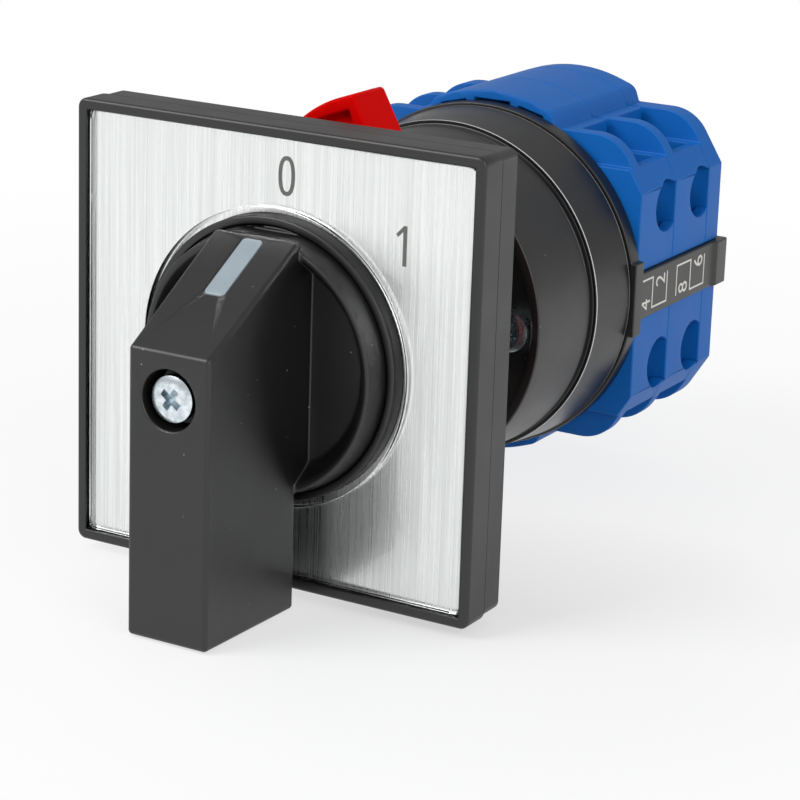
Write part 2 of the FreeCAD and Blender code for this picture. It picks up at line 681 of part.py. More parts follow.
# Spindle: square bar from the knob to a round end in the end cover.
SPINDLE = f"({SOCKET} - plate_depth)"
spindle = new_body("spindle", SPINDLE)
spindle_sketch = new_sketch(spindle, "XZ_Plane")
square(spindle_sketch, "spindle_side / 2")
SPINDLE_LENGTH = f"({COVER} - {SPINDLE} - tail_gap)"
pad(spindle, spindle_sketch, SPINDLE_LENGTH)
tail_sketch = new_sketch(spindle, "XZ_Plane", SPINDLE_LENGTH)
circle(tail_sketch, "0", "0", "tail_radius")
pad(spindle, tail_sketch, "tail_length")
tapped = new_sketch(spindle, "XZ_Plane")
circle(tapped, "0", "0", "screw_shank")
pocket(spindle, tapped, "screw_length - socket_wall")
pieces.append(spindle)

# Latch collar: takes the neck's end and carries the lock lever.
LEVER_ROOM = "(lever_thick + 2 * lever_gap)"
collar = new_body("latch_collar", "collar_start")
COLLAR_LENGTH = "(panel_gap + front_recess - collar_start)"
turned_piece(collar, [
    ("neck_radius", "0"),
    ("lip_radius", "0"),
    ("lip_radius", "lip_length"),
    ("lever_seat", "lip_length"),
    ("lever_seat", f"lip_length + {LEVER_ROOM}"),
    ("flange_radius", f"lip_length + {LEVER_ROOM}"),
    ("flange_radius", f"lip_length + {LEVER_ROOM} + flange_thick"),
    ("waist_radius", f"lip_length + {LEVER_ROOM} + 2 * flange_thick"),
    ("waist_radius", COLLAR_LENGTH),
    ("waist_bore", COLLAR_LENGTH),
    ("waist_bore", "neck_length - collar_start"),
    ("neck_radius", "neck_length - collar_start"),
])
pieces.append(collar)

# Lock lever: a ring on the latch collar with a paddle that stands up behind the plate.
lever = new_body("lock_lever", "collar_start + lip_length + lever_gap")
lever_ring = new_sketch(lever, "XZ_Plane")
circle(lever_ring, "0", "0", "lever_radius")
circle(lever_ring, "0", "0", "lever_seat + running_gap")
pad(lever, lever_ring, "lever_thick")
paddle = new_sketch(lever, "XZ_Plane", "-paddle_forward")
outline(paddle, [
    ("-paddle_left", "paddle_foot"), ("paddle_right", "paddle_foot"), ("paddle_peak", "paddle_top"),
    ("-paddle_bend", "paddle_rise"),
])
pad(lever, paddle, "paddle_forward + lever_thick + paddle_behind")
fillet(lever, "paddle_round", lambda middle, way: along_shaft(way) and near(middle.x, "-paddle_bend"))
fillet(lever, "paddle_corner", lambda middle, way: (
    along_shaft(way) and (near(middle.x, "paddle_peak") or near(middle.z, "paddle_foot"))
))
root = new_sketch(lever, "XZ_Plane")
rectangle(
    root, "-root_left", "root_right", "(lever_seat + lever_radius) / 2", "paddle_foot + paddle_corner",
)
pad(lever, root, "lever_thick")
grip = new_sketch(lever, "XZ_Plane", "-paddle_forward")
outline(grip, [
    ("-grip_left", "grip_foot"), ("grip_right", "grip_foot"), ("grip_peak", "grip_top"),
    ("-grip_bend", "grip_rise"),
])
pocket(lever, grip, "grip_depth")
pieces.append(lever)

# Detent housing: round cup open to the rear, with posts for the detent springs.
housing = new_body("detent_housing", HOUSING)
CUP_FLOOR = "(front_recess + front_wall)"
turned_piece(housing, [
    ("housing_bore", "front_recess"),
    ("housing_front - front_rim", "front_recess"),
    ("housing_front - front_rim", "0"),
    ("housing_front", "0"),
    ("housing_step", GROOVE),
    ("housing_step - groove_depth", GROOVE),
    ("housing_step - groove_depth", f"{GROOVE} + groove_width"),
    ("band_seat", f"{GROOVE} + groove_width"),
    ("band_rear", "housing_depth - band_gap"),
    ("band_rear", "housing_depth"),
    ("cavity_radius", "housing_depth"),
    ("cavity_radius", CUP_FLOOR),
    ("housing_bore", CUP_FLOOR),
])
bosses = new_sketch(housing, "XZ_Plane", CUP_FLOOR)
for across in (1, -1):
    circle(bosses, f"{across} * tie_offset", "0", "boss_radius")
pad(housing, bosses, f"housing_depth - {CUP_FLOOR}")
posts = new_sketch(housing, "XZ_Plane", CUP_FLOOR)
for across in (1, -1):
    for up in (1, -1):
        low = f"{up} * (leaf_reach + post_over - post_height)"
        high = f"{up} * (leaf_reach + post_over)"
        for inner in ("leaf_offset - post_width", "leaf_offset + leaf_thick"):
            left = f"{across} * ({inner})"
            right = f"{across} * ({inner} + post_width)"
            outline(posts, [(left, low), (right, low), (right, high), (left, high)])
pad(housing, posts, f"{STAR} + star_thick - {CUP_FLOOR}")
tie_holes = new_sketch(housing, "XZ_Plane")
for across in (1, -1):
    circle(tie_holes, f"{across} * tie_offset", "0", "tie_radius + seat_gap")
pocket(housing, tie_holes, "housing_depth")
pieces.append(housing)

# Label band: thin printed sleeve round the housing, which widens to the rear.
band = new_body("label_band", f"panel_gap + {GROOVE} + groove_width")
turned_piece(band, [
    ("band_seat", "0"),
    ("band_seat + band_thick", "0"),
    ("band_rear + band_thick", "band_width"),
    ("band_rear", "band_width"),
])
pieces.append(band)

# Star wheel: eight valleys for the detent springs and a lug that meets the stops.
star = new_body("star_wheel", f"panel_gap + {STAR}")
star_disc = new_sketch(star, "XZ_Plane")
circle(star_disc, "0", "0", "star_radius")
pad(star, star_disc, "star_thick")
valley_sketch = new_sketch(star, "XZ_Plane")
circle(valley_sketch, "valley_floor + valley_radius", "0", "valley_radius")
valley = pocket(star, valley_sketch, "star_thick")
valleys = star.newObject("PartDesign::PolarPattern", "valleys")
valleys.Originals = [valley]
valleys.Axis = (valley_sketch, ["N_Axis"])
valleys.Angle = 360
bind(valleys, "Occurrences", "star_valleys")
star.Tip = valleys
hub = new_sketch(star, "XZ_Plane", "star_thick")
circle(hub, "0", "0", "hub_radius")
pad(star, hub, "lug_length")


def polar_point(radius, angle):
    """A point at a radius and an angle from straight up, clockwise from the front."""
    return f"({radius}) * sin(({angle}) * 1deg)", f"({radius}) * cos(({angle}) * 1deg)"


lug = new_sketch(star, "XZ_Plane", "star_thick")
outline(lug, [
    polar_point("hub_radius / 2", "-lug_angle"),
    polar_point("lug_radius", "-lug_angle"),
    polar_point("lug_radius / cos(lug_angle / 2 * 1deg)", "0"),
    polar_point("lug_radius", "lug_angle"),
    polar_point("hub_radius / 2", "lug_angle"),
])
pad(star, lug, "lug_length")
star_bore = new_sketch(star, "XZ_Plane")
square(star_bore, "spindle_side / 2")
pocket(star, star_bore, "star_thick + lug_length")
pieces.append(star)

# Detent springs: spring-steel leaves with a nose that drops into the star's valleys.
LEAF_STATION = f"panel_gap + {STAR} + (star_thick - leaf_width) / 2"
for side, across in (("right", 1), ("left", -1)):
    leaf = new_body(f"detent_spring_{side}", LEAF_STATION)
    leaf_sketch = new_sketch(leaf, "XZ_Plane")
    inner_side = [
        ("leaf_offset", "leaf_reach"), ("leaf_offset", "nose_root"), ("leaf_nose", "nose_flat"),
        ("leaf_nose", "-nose_flat"), ("leaf_offset", "-nose_root"), ("leaf_offset", "-leaf_reach"),
    ]
    outer_side = [(f"{x} + leaf_thick", f"{z}") for x, z in reversed(inner_side)]
    outline(leaf_sketch, [(f"{across} * ({x})", z) for x, z in inner_side + outer_side])
    pad(leaf, leaf_sketch, "leaf_width")
    pieces.append(leaf)

# Base plate: closes the housing, carries the two stops and a tongue at each side.
base = new_body("detent_base", BASE)
base_disc = new_sketch(base, "XZ_Plane")
circle(base_disc, "0", "0", "base_radius")
pad(base, base_disc, "base_thick")
tongues = new_sketch(base, "XZ_Plane")
rectangle(tongues, "-tongue_reach", "tongue_reach", "-tongue_width / 2", "tongue_width / 2")
pad(base, tongues, "base_thick")
stops = new_sketch(base, "XZ_Plane")
for start in ("-lug_angle - stop_play - stop_angle", "turn_angle + lug_angle + stop_play"):
    end = f"{start} + stop_angle"
    outline(stops, [
        polar_point("stop_inner", start), polar_point("stop_outer", start),
        polar_point("stop_outer", end), polar_point("stop_inner", end),
    ])
pad(base, stops, "stop_height", forward=True)
base_holes = new_sketch(base, "XZ_Plane")
circle(base_holes, "0", "0", "housing_bore")
for across in (1, -1):
    circle(base_holes, f"{across} * tie_offset", "0", "tie_radius + seat_gap")
pocket(base, base_holes, "base_thick")
pieces.append(base)

# Tie screws: two long screws hold housing, stages and cover together.
tie = screw(
    "tie_screw", "tie_head", "tie_head_depth", "tie_radius",
    f"({COVER} + cover_thick - nut_sink - panel_gap - front_recess + tie_over)",
)
tie_left = document.addObject("Part::Mirroring", "tie_screw_left")
tie_left.Source = tie
tie_left.Normal = (1, 0, 0)
bind(tie, ".Placement.Base.x", "tie_offset")
ties = document.addObject("Part::Compound", "tie_screws")
ties.Label = "tie_screws"
ties.Links = [tie, tie_left]
bind(ties, ".Placement.Base.y", "panel_gap + front_recess - tie_head_depth")
pieces.append(ties)


ROOM = "(stage_pitch - chamber_wall)"
RIDGE = "(hood_top + hood_ridge)"
ROOM_TOP = "(hood_top - hood_wall)"
ROOM_SIDE = "(hood_top - 2 * hood_wall)"
PLUNGER_MIDDLE = f"(chamber_wall + {ROOM} / 2)"
POCKET_OUTER = "(side_reach - outer_wall)"


def stage_outline(sketch):
    """Cross-section of the stack: flat sides, shoulders, quarter-round wings and hoods."""
    quarter = [
        ("side_reach", "side_height"), ("wing_corner", "wing_top"), ("hood_base", "wing_top"),
        ("hood_corner", "hood_shoulder"), ("0", RIDGE),
    ]
    upper = quarter + [(f"-({x})", z) for x, z in reversed(quarter[:-1])]
    outline(sketch, upper + [(x, f"-({z})") for x, z in reversed(upper)])


def round_stage(body):
    """Rounds the wings and the hood along the shaft."""
    fillet(body, "wing_round", lambda middle, way: (
        along_shaft(way) and near(abs(middle.x), "wing_corner") and near(abs(middle.z), "wing_top")
    ))
    fillet(body, "hood_round", lambda middle, way: (
        along_shaft(way) and near(abs(middle.x), "hood_corner") and near(abs(middle.z), "hood_shoulder")
    ))
    fillet(body, "hood_crown", lambda middle, way: (
        along_shaft(way) and near(middle.x, "0") and near(abs(middle.z), RIDGE)
    ))


def step_wings(body):
    """Sets the quarter-round walls back behind a narrow ledge."""
    ledges = new_sketch(body, "XZ_Plane")
    for across in (1, -1):
        for up in (1, -1):
            inner = f"{across} * hood_base"
            outer = f"{across} * 2 * side_reach"
            low = f"{up} * shoulder_height"
            high = f"{up} * 2 * wing_top"
            outline(ledges, [(inner, low), (outer, low), (outer, high), (inner, high)])
    pocket(body, ledges, "ledge_depth")


def groove_for_strips(body, length):
    """Lets the number strips into the flat sides, and drills for the tie screws."""
    grooves = new_sketch(body, "XZ_Plane")
    for across in (1, -1):
        inner = f"{across} * (side_reach - strip_groove)"
        outer = f"{across} * 2 * side_reach"
        outline(grooves, [
            (inner, "-strip_width / 2 - seat_gap"), (outer, "-strip_width / 2 - seat_gap"),
            (outer, "strip_width / 2 + seat_gap"), (inner, "strip_width / 2 + seat_gap"),
        ])
        circle(grooves, f"{across} * tie_offset", "0", "tie_radius + seat_gap")
    pocket(body, grooves, length)


def hood_windows(body):
    """Three recesses in the front of each hood, the outer two with a sloping top."""
    edge = "window_middle + window_rib"
    shapes = [[
        ("-window_middle", "hood_foot"), ("window_middle", "hood_foot"),
        ("window_middle", "window_top"), ("-window_middle", "window_top"),
    ]]
    for across in (1, -1):
        shapes.append([
            (f"{across} * ({edge})", "hood_foot"), (f"{across} * window_outer", "hood_foot"),
            (f"{across} * window_outer", "window_top - window_fall"),
            (f"{across} * ({edge})", "window_top - window_fall / 4"),
        ])
    recesses = new_sketch(body, "XZ_Plane")
    for up in (1, -1):
        for corners in shapes:
            outline(recesses, [(x, f"{up} * ({z})") for x, z in corners])
    pocket(body, recesses, "window_depth")


def stage_housing(label, station):
    """Blue moulding, open to the rear: cam chamber, contact chambers, terminal pockets."""
    body = new_body(label, station)
    profile = new_sketch(body, "XZ_Plane")
    stage_outline(profile)
    pad(body, profile, "stage_pitch")
    round_stage(body)
    step_wings(body)
    groove_for_strips(body, "stage_pitch")
    hood_windows(body)
    cam_chamber = new_sketch(body, "XZ_Plane", "chamber_wall")
    circle(cam_chamber, "0", "0", "cam_room")
    pocket(body, cam_chamber, ROOM)
    slide = new_sketch(body, "XZ_Plane", "chamber_wall")
    half = "plunger_width / 2 + guide_gap"
    rectangle(slide, f"-({half})", half, f"-{ROOM_TOP}", ROOM_TOP)
    pocket(body, slide, ROOM)
    for up in (1, -1):
        chamber = new_sketch(body, "XZ_Plane", "chamber_wall")
        inner = f"{half} + guide_wall"
        right = [
            (inner, "guide_height"), (inner, "room_floor"), ("contact_room", "room_floor"),
            ("contact_room", "hood_foot"), ("hood_room", "hood_foot"), ("hood_room", ROOM_SIDE),
            (half, ROOM_TOP),
        ]
        both = right + [(f"-({x})", z) for x, z in reversed(right)]
        outline(chamber, [(x, f"{up} * ({z})") for x, z in both])
        pocket(body, chamber, ROOM)
    terminals = new_sketch(body, "XZ_Plane", "wall_thick")
    for across in (1, -1):
        for up in (1, -1):
            outline(terminals, [(f"{across} * ({x})", f"{up} * ({z})") for x, z in [
                ("pocket_inner", "pocket_floor"), (POCKET_OUTER, "pocket_floor"),
                (POCKET_OUTER, "side_height - rim_drop"), ("pocket_rim", "shoulder_height"),
                ("2 * side_reach", "shoulder_height"), ("2 * side_reach", "2 * wing_top"),
                ("pocket_inner", "2 * wing_top"),
            ]])
    pocket(body, terminals, "stage_pitch - wall_thick")
    slots = new_sketch(body, "XZ_Plane", f"{PLUNGER_MIDDLE} - contact_width / 2")
    for across in (1, -1):
        for up in (1, -1):
            left = f"{across} * (contact_room - guide_gap)"
            right = f"{across} * (pocket_inner + guide_gap)"
            low = f"{up} * {ARM}"
            high = f"{up} * ({ARM} + contact_thick)"
            outline(slots, [(left, low), (right, low), (right, high), (left, high)])
    pocket(body, slots, "stage_pitch")
    for across, turned in ((1, True), (-1, False)):
        holes = new_sketch(body, "YZ_Plane", f"{across} * (side_reach - 2 * outer_wall)")
        for up in (1, -1):
            circle(holes, "stage_pitch - hole_offset", f"{up} * terminal_height", "hole_radius")
        pocket(body, holes, "3 * outer_wall", turned=turned)
    spindle_hole = new_sketch(body, "XZ_Plane")
    circle(spindle_hole, "0", "0", "housing_bore")
    pocket(body, spindle_hole, "stage_pitch")
    return body


def cam_point(radius, angle):
    """A point of the cam at rest, angle in degrees from straight up, against the turn."""
    direction = math.radians(angle)
    return FreeCAD.Vector(-radius * math.sin(direction), 0, radius * math.cos(direction))


def cam_disc(label, station):
    """Two-lobed cam: each lobe falls steadily over the turn, stays low, and rises again."""
    turn = number("turn_angle")
    run = number("cam_run")
    slope = number("cam_travel / turn_angle")
    start = number("cam_high + cam_travel / turn_angle * cam_run")
    low = number("cam_high - cam_travel - cam_travel / turn_angle * cam_run")
    dwell = number("cam_dwell")
    edges = []
    for lobe in (0, 180):
        fall = turn + 2 * run
        ramp = [cam_point(start - slope * part * fall, lobe - run + part * fall) for part in (0, 0.5, 1)]
        rest = [cam_point(low, lobe + turn + run + part * dwell) for part in (0, 0.5, 1)]
        rise_start = lobe + turn + run + dwell
        rise_end = lobe + 180 - run
        middle = cam_point((low + start) / 2, (rise_start + rise_end) / 2)
        rise = [cam_point(low, rise_start), middle, cam_point(start, rise_end)]
        for points in (ramp, rest, rise):
            edges.append(Part.Arc(*points).toShape())
    thick = number("cam_thick")
    side = number("spindle_side")
    disc = Part.Face(Part.Wire(edges)).extrude(FreeCAD.Vector(0, thick, 0))
    bore = Part.makeBox(side, 3 * thick, side, FreeCAD.Vector(-side / 2, -thick, -side / 2))
    feature = document.addObject("Part::Feature", label)
    feature.Label = label
    feature.Shape = disc.cut(bore)
    bind(feature, ".Placement.Base.y", station)
    return feature


REST_NOSE = "(cam_high + cam_gap)"
TERMINAL_SHIFT = f"(stage_pitch - terminal_offset - {PLUNGER_MIDDLE})"
CLAMP = "(pocket_inner + leg_thick + clamp_gap)"
SHOULDER = f"({ARM} + contact_thick + button_height + contact_play + bridge_button + cam_travel)"


def side_piece(label, station, up):
    """Starts a piece drawn for the upper contact; the lower one is turned over."""
    body = new_body(label, station)
    if up < 0:
        body.Placement.Rotation = FreeCAD.Rotation(FreeCAD.Vector(0, 1, 0), 180)
    return body


def plunger(label, station, up):
    """Slides in the guides, its nose on the cam, its post inside the spring."""
    body = side_piece(label, station, up)
    half = "plunger_width / 2"
    profile = new_sketch(body, "XZ_Plane", "-plunger_thick / 2")
    outline(profile, [
        ("-nose_radius / 2", REST_NOSE), ("nose_radius / 2", REST_NOSE),
        (half, f"{REST_NOSE} + nose_height"), (half, SHOULDER),
        (f"-{half}", SHOULDER), (f"-{half}", f"{REST_NOSE} + nose_height"),
    ])
    pad(body, profile, "plunger_thick")
    fillet(body, "nose_round", lambda middle, way: along_shaft(way) and near(middle.z, REST_NOSE))
    post = new_sketch(body, "XY_Plane", SHOULDER)
    circle(post, "0", "0", "post_radius")
    pad(body, post, "post_length", forward=True)
    return body


def contact_bridge(label, station, up):
    """Copper strip on the plunger's shoulder with a silver button at each end."""
    body = side_piece(label, station, up)
    strip = new_sketch(body, "XZ_Plane", "-contact_width / 2")
    rectangle(strip, "-bridge_reach", "bridge_reach", SHOULDER, f"{SHOULDER} + contact_thick")
    pad(body, strip, "contact_width")
    buttons = new_sketch(body, "XY_Plane", f"{SHOULDER} - bridge_button")
    for across in (1, -1):
        circle(buttons, f"{across} * button_offset", "0", "button_radius")
    pad(body, buttons, "bridge_button", forward=True)
    hole = new_sketch(body, "XY_Plane", f"{SHOULDER} + contact_thick")
    circle(hole, "0", "0", "post_radius")
    pocket(body, hole, "contact_thick")
    return body


def contact_spring(label, station, up):
    """Coil spring between the contact bridge and the hood's roof, its wire six-sided."""
    body = side_piece(label, station, up)
    foot = f"({SHOULDER} + contact_thick + spring_wire / 2)"
    rise = f"({ROOM_TOP} - {foot} - spring_wire / 2)"
    section = new_sketch(body, "XZ_Plane")
    outline(section, [
        (f"spring_radius + {x}", f"{foot} + {z}")
        for x, z in [polar_point("spring_wire / 2", 60 * corner) for corner in range(6)]
    ])
    coil = body.newObject("PartDesign::AdditiveHelix", "coil")
    coil.Profile = section
    coil.ReferenceAxis = (section, ["V_Axis"])
    coil.Mode = "height-turns-angle"
    bind(coil, "Height", rise)
    bind(coil, "Turns", "spring_turns")
    document.recompute()
    return body


def fixed_contact(label):
    """Angled strip: an upright leg in the terminal and an arm with a silver button."""
    body = new_body(label)
    profile = new_sketch(body, "XZ_Plane", "-contact_width / 2")
    outer = "pocket_inner + leg_thick"
    outline(profile, [
        ("contact_tip", ARM), ("pocket_inner", ARM),
        ("pocket_inner", "leg_bottom"), (outer, "leg_bottom"), (outer, LEG_TOP),
        ("pocket_inner", LEG_TOP), ("pocket_inner", f"{ARM} + contact_thick"),
        ("contact_tip", f"{ARM} + contact_thick"),
    ])
    pad(body, profile, "contact_width")
    button = new_sketch(body, "XY_Plane", f"{ARM} + contact_thick")
    circle(button, "button_offset", "0", "button_radius")
    pad(body, button, "button_height", forward=True)
    tapped = new_sketch(body, "YZ_Plane", outer)
    circle(tapped, TERMINAL_SHIFT, "terminal_height", "terminal_shank")
    pocket(body, tapped, "leg_thick")
    return body


def clamp_plate(label):
    """Square washer under the terminal screw's head."""
    body = new_body(label)
    profile = new_sketch(body, "YZ_Plane", CLAMP)
    rectangle(
        profile, "-contact_width / 2", "contact_width / 2",
        "terminal_height - clamp_height / 2", "terminal_height + clamp_height / 2",
    )
    circle(profile, TERMINAL_SHIFT, "terminal_height", "terminal_shank")
    pad(body, profile, "clamp_thick", forward=True)
    return body


def terminal_screw(label):
    """Clamps the wire; its head faces the screwdriver hole."""
    body = screw(
        label, "terminal_head", "terminal_head_depth", "terminal_shank",
        "(clamp_thick + clamp_gap + leg_thick)",
    )
    body.Placement.Rotation = FreeCAD.Rotation(FreeCAD.Vector(0, 0, 1), 90)
    bind(body, ".Placement.Base.x", f"{CLAMP} + clamp_thick + terminal_head_depth")
    bind(body, ".Placement.Base.y", TERMINAL_SHIFT)
    bind(body, ".Placement.Base.z", "terminal_height")
    return body


for stage in (1, 2):
    start = f"({STACK} + {stage - 1} * stage_pitch)"
    middle = f"({start} + {PLUNGER_MIDDLE})"
    pieces.append(stage_housing(f"stage_housing_{stage}", start))
    pieces.append(cam_disc(f"cam_{stage}", f"{start} + chamber_wall + cam_side"))
    for place, up in (("upper", 1), ("lower", -1)):
        pieces.append(plunger(f"plunger_{place}_{stage}", middle, up))
        pieces.append(contact_bridge(f"contact_bridge_{place}_{stage}", middle, up))
        pieces.append(contact_spring(f"contact_spring_{place}_{stage}", middle, up))
    contact = fixed_contact(f"fixed_contact_{stage}")
    pieces.append(through_all_ways(f"fixed_contacts_{stage}", contact, middle))
    plate = clamp_plate(f"clamp_plate_{stage}")
    pieces.append(through_all_ways(f"clamp_plates_{stage}", plate, middle))
    clamp_screw = terminal_screw(f"terminal_screw_{stage}")
    pieces.append(through_all_ways(f"terminal_screws_{stage}", clamp_screw, middle))

# End cover: closes the last stage, with the spindle's blind bearing and nut pockets.
cover = new_body("end_cover", COVER)
cover_profile = new_sketch(cover, "XZ_Plane")
stage_outline(cover_profile)
pad(cover, cover_profile, "cover_thick")
round_stage(cover)
step_wings(cover)
groove_for_strips(cover, "cover_thick")
bearing = new_sketch(cover, "XZ_Plane")
circle(bearing, "0", "0", "tail_radius + running_gap")
pocket(cover, bearing, "bearing_depth")
nut_pockets = new_sketch(cover, "XZ_Plane", "cover_thick")
for across in (1, -1):
    hexagon = [polar_point("nut_pocket", 60 * corner) for corner in range(6)]
    outline(nut_pockets, [(f"{across} * tie_offset + {x}", z) for x, z in hexagon])
pocket(cover, nut_pockets, "nut_sink", turned=True)
pieces.append(cover)

# Tie nuts: hexagon nuts sunk in the end cover.
nuts = new_body("tie_nut", f"{COVER} + cover_thick - nut_sink")
nut_profile = new_sketch(nuts, "XZ_Plane")
hexagon = [polar_point("nut_pocket - seat_gap", 60 * corner) for corner in range(6)]
outline(nut_profile, [(f"tie_offset + {x}", z) for x, z in hexagon])
circle(nut_profile, "tie_offset", "0", "tie_radius")
pad(nuts, nut_profile, "nut_sink")
nut_left = document.addObject("Part::Mirroring", "tie_nut_left")
nut_left.Source = nuts
nut_left.Normal = (1, 0, 0)
tie_nuts = document.addObject("Part::Compound", "tie_nuts")
tie_nuts.Label = "tie_nuts"
tie_nuts.Links = [nuts, nut_left]
pieces.append(tie_nuts)

# Number strips: black clips along the sides, hooked over the end cover.
STRIP_LENGTH = "(2 * stage_pitch + cover_thick)"
for side, across in (("right", 1), ("left", -1)):
    strip = new_body(f"number_strip_{side}", STACK)
    strip_sketch = new_sketch(strip, "XY_Plane")
    foot = "side_reach - strip_groove"
    face = "side_reach - strip_groove + strip_thick"
    outline(strip_sketch, [(f"{across} * ({x})", y) for x, y in [
        (foot, "0"), (face, "0"), (face, f"{STRIP_LENGTH} - hook_front"),
        (f"{face} + hook_rise", f"{STRIP_LENGTH} - hook_front + hook_ramp"),
        (f"{face} + hook_rise", f"{STRIP_LENGTH} + hook_length - hook_slant"),
        (f"{face} + hook_edge", f"{STRIP_LENGTH} + hook_length"),
        (f"{foot} - hook_bite", f"{STRIP_LENGTH} + hook_length"),
        (f"{foot} - hook_bite", STRIP_LENGTH), (foot, STRIP_LENGTH),
    ]])
    pad(strip, strip_sketch, "strip_width", middle=True)
    pieces.append(strip)

document.removeObject("working")
document.recompute()
for thing in document.Objects:
    if "Invalid" in thing.State or "Error" in thing.State:
        raise RuntimeError(f"{thing.Name} of {thing.Label} failed: {thing.State}")
for piece in pieces:
    if piece.Shape.isNull() or not piece.Shape.isValid() or not piece.Shape.Solids:
        raise RuntimeError(f"{piece.Label} has no valid solid")
for piece in pieces:
    piece.Shape.exportStep(f"parts/{piece.Label}.step")
print(len(pieces), "pieces written")
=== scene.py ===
import json
import math

import bmesh
import bpy
from mathutils import Matrix, Vector

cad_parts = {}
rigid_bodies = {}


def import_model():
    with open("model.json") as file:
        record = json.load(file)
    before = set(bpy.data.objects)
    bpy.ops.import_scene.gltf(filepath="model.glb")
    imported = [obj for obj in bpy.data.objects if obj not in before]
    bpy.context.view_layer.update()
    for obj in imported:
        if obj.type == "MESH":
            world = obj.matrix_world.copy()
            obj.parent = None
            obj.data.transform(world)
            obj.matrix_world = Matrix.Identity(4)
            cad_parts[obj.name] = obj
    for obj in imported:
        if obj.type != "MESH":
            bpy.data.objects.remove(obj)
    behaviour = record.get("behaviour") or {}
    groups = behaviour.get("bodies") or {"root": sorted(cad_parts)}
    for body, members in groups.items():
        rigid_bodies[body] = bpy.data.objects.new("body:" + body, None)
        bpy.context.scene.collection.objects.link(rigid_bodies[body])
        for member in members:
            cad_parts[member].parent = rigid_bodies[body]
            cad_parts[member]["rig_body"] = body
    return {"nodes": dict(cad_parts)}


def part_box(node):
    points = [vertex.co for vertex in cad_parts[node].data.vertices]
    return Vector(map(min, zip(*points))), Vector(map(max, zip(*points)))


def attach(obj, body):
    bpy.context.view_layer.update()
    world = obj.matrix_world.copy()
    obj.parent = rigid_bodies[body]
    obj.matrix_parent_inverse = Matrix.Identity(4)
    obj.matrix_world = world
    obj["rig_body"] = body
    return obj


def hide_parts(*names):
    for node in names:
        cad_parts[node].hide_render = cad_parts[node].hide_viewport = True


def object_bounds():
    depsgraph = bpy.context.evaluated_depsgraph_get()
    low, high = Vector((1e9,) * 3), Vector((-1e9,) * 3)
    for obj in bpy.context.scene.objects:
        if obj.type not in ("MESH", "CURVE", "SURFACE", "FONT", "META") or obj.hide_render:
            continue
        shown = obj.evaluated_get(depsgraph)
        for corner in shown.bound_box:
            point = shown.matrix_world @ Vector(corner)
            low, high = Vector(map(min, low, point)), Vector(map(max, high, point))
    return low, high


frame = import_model()
nodes = frame["nodes"]
cad_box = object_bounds()


# Panel gasket: a square washer of soft black rubber, stamped from sheet. It lies
# in the back of the bezel and seals it against the panel.

def add(tree, kind, sockets=(), **settings):
    """Puts a node in a tree; a socket given as another's value becomes a link."""
    node = tree.nodes.new(kind)
    for name, value in settings.items():
        setattr(node, name, value)
    for name, value in dict(sockets).items():
        if isinstance(value, bpy.types.NodeSocket):
            tree.links.new(value, node.inputs[name])
        else:
            node.inputs[name].default_value = value
    return node


def named_group(name, kind, inputs, outputs):
    """A node group with named sockets, and its input and output nodes."""
    tree = bpy.data.node_groups.new(name, kind)
    for label, socket_type, value in inputs:
        socket = tree.interface.new_socket(label, in_out="INPUT", socket_type=socket_type)
        if value is not None:
            socket.default_value = value
    for label, socket_type in outputs:
        tree.interface.new_socket(label, in_out="OUTPUT", socket_type=socket_type)
    return tree, add(tree, "NodeGroupInput").outputs, add(tree, "NodeGroupOutput").inputs


def reckon(tree, operation, *values):
    """The result of a math node on sockets and numbers."""
    return add(tree, "ShaderNodeMath", dict(enumerate(values)), operation=operation).outputs[0]


def blend(tree, share, first, second):
    """The colour that lies at a share between two others."""
    return add(tree, "ShaderNodeMix", {0: share, 6: first, 7: second}, data_type="RGBA").outputs[2]


def ramp(tree, value, start, end, low, high):
    """A value led from low to high between a start and an end."""
    return add(tree, "ShaderNodeMapRange", {
        "Value": value, "From Min": start, "From Max": end, "To Min": low, "To Max": high,
    }).outputs[0]


CLOUD_SCALE = 140
SPECK_SCALE = 620
SPECK_SIZE = 0.055
SPECK_SHARE = 0.22
DUST_COLOUR = (0.6, 0.6, 0.58, 1)
SKIN_SWING = 0.18


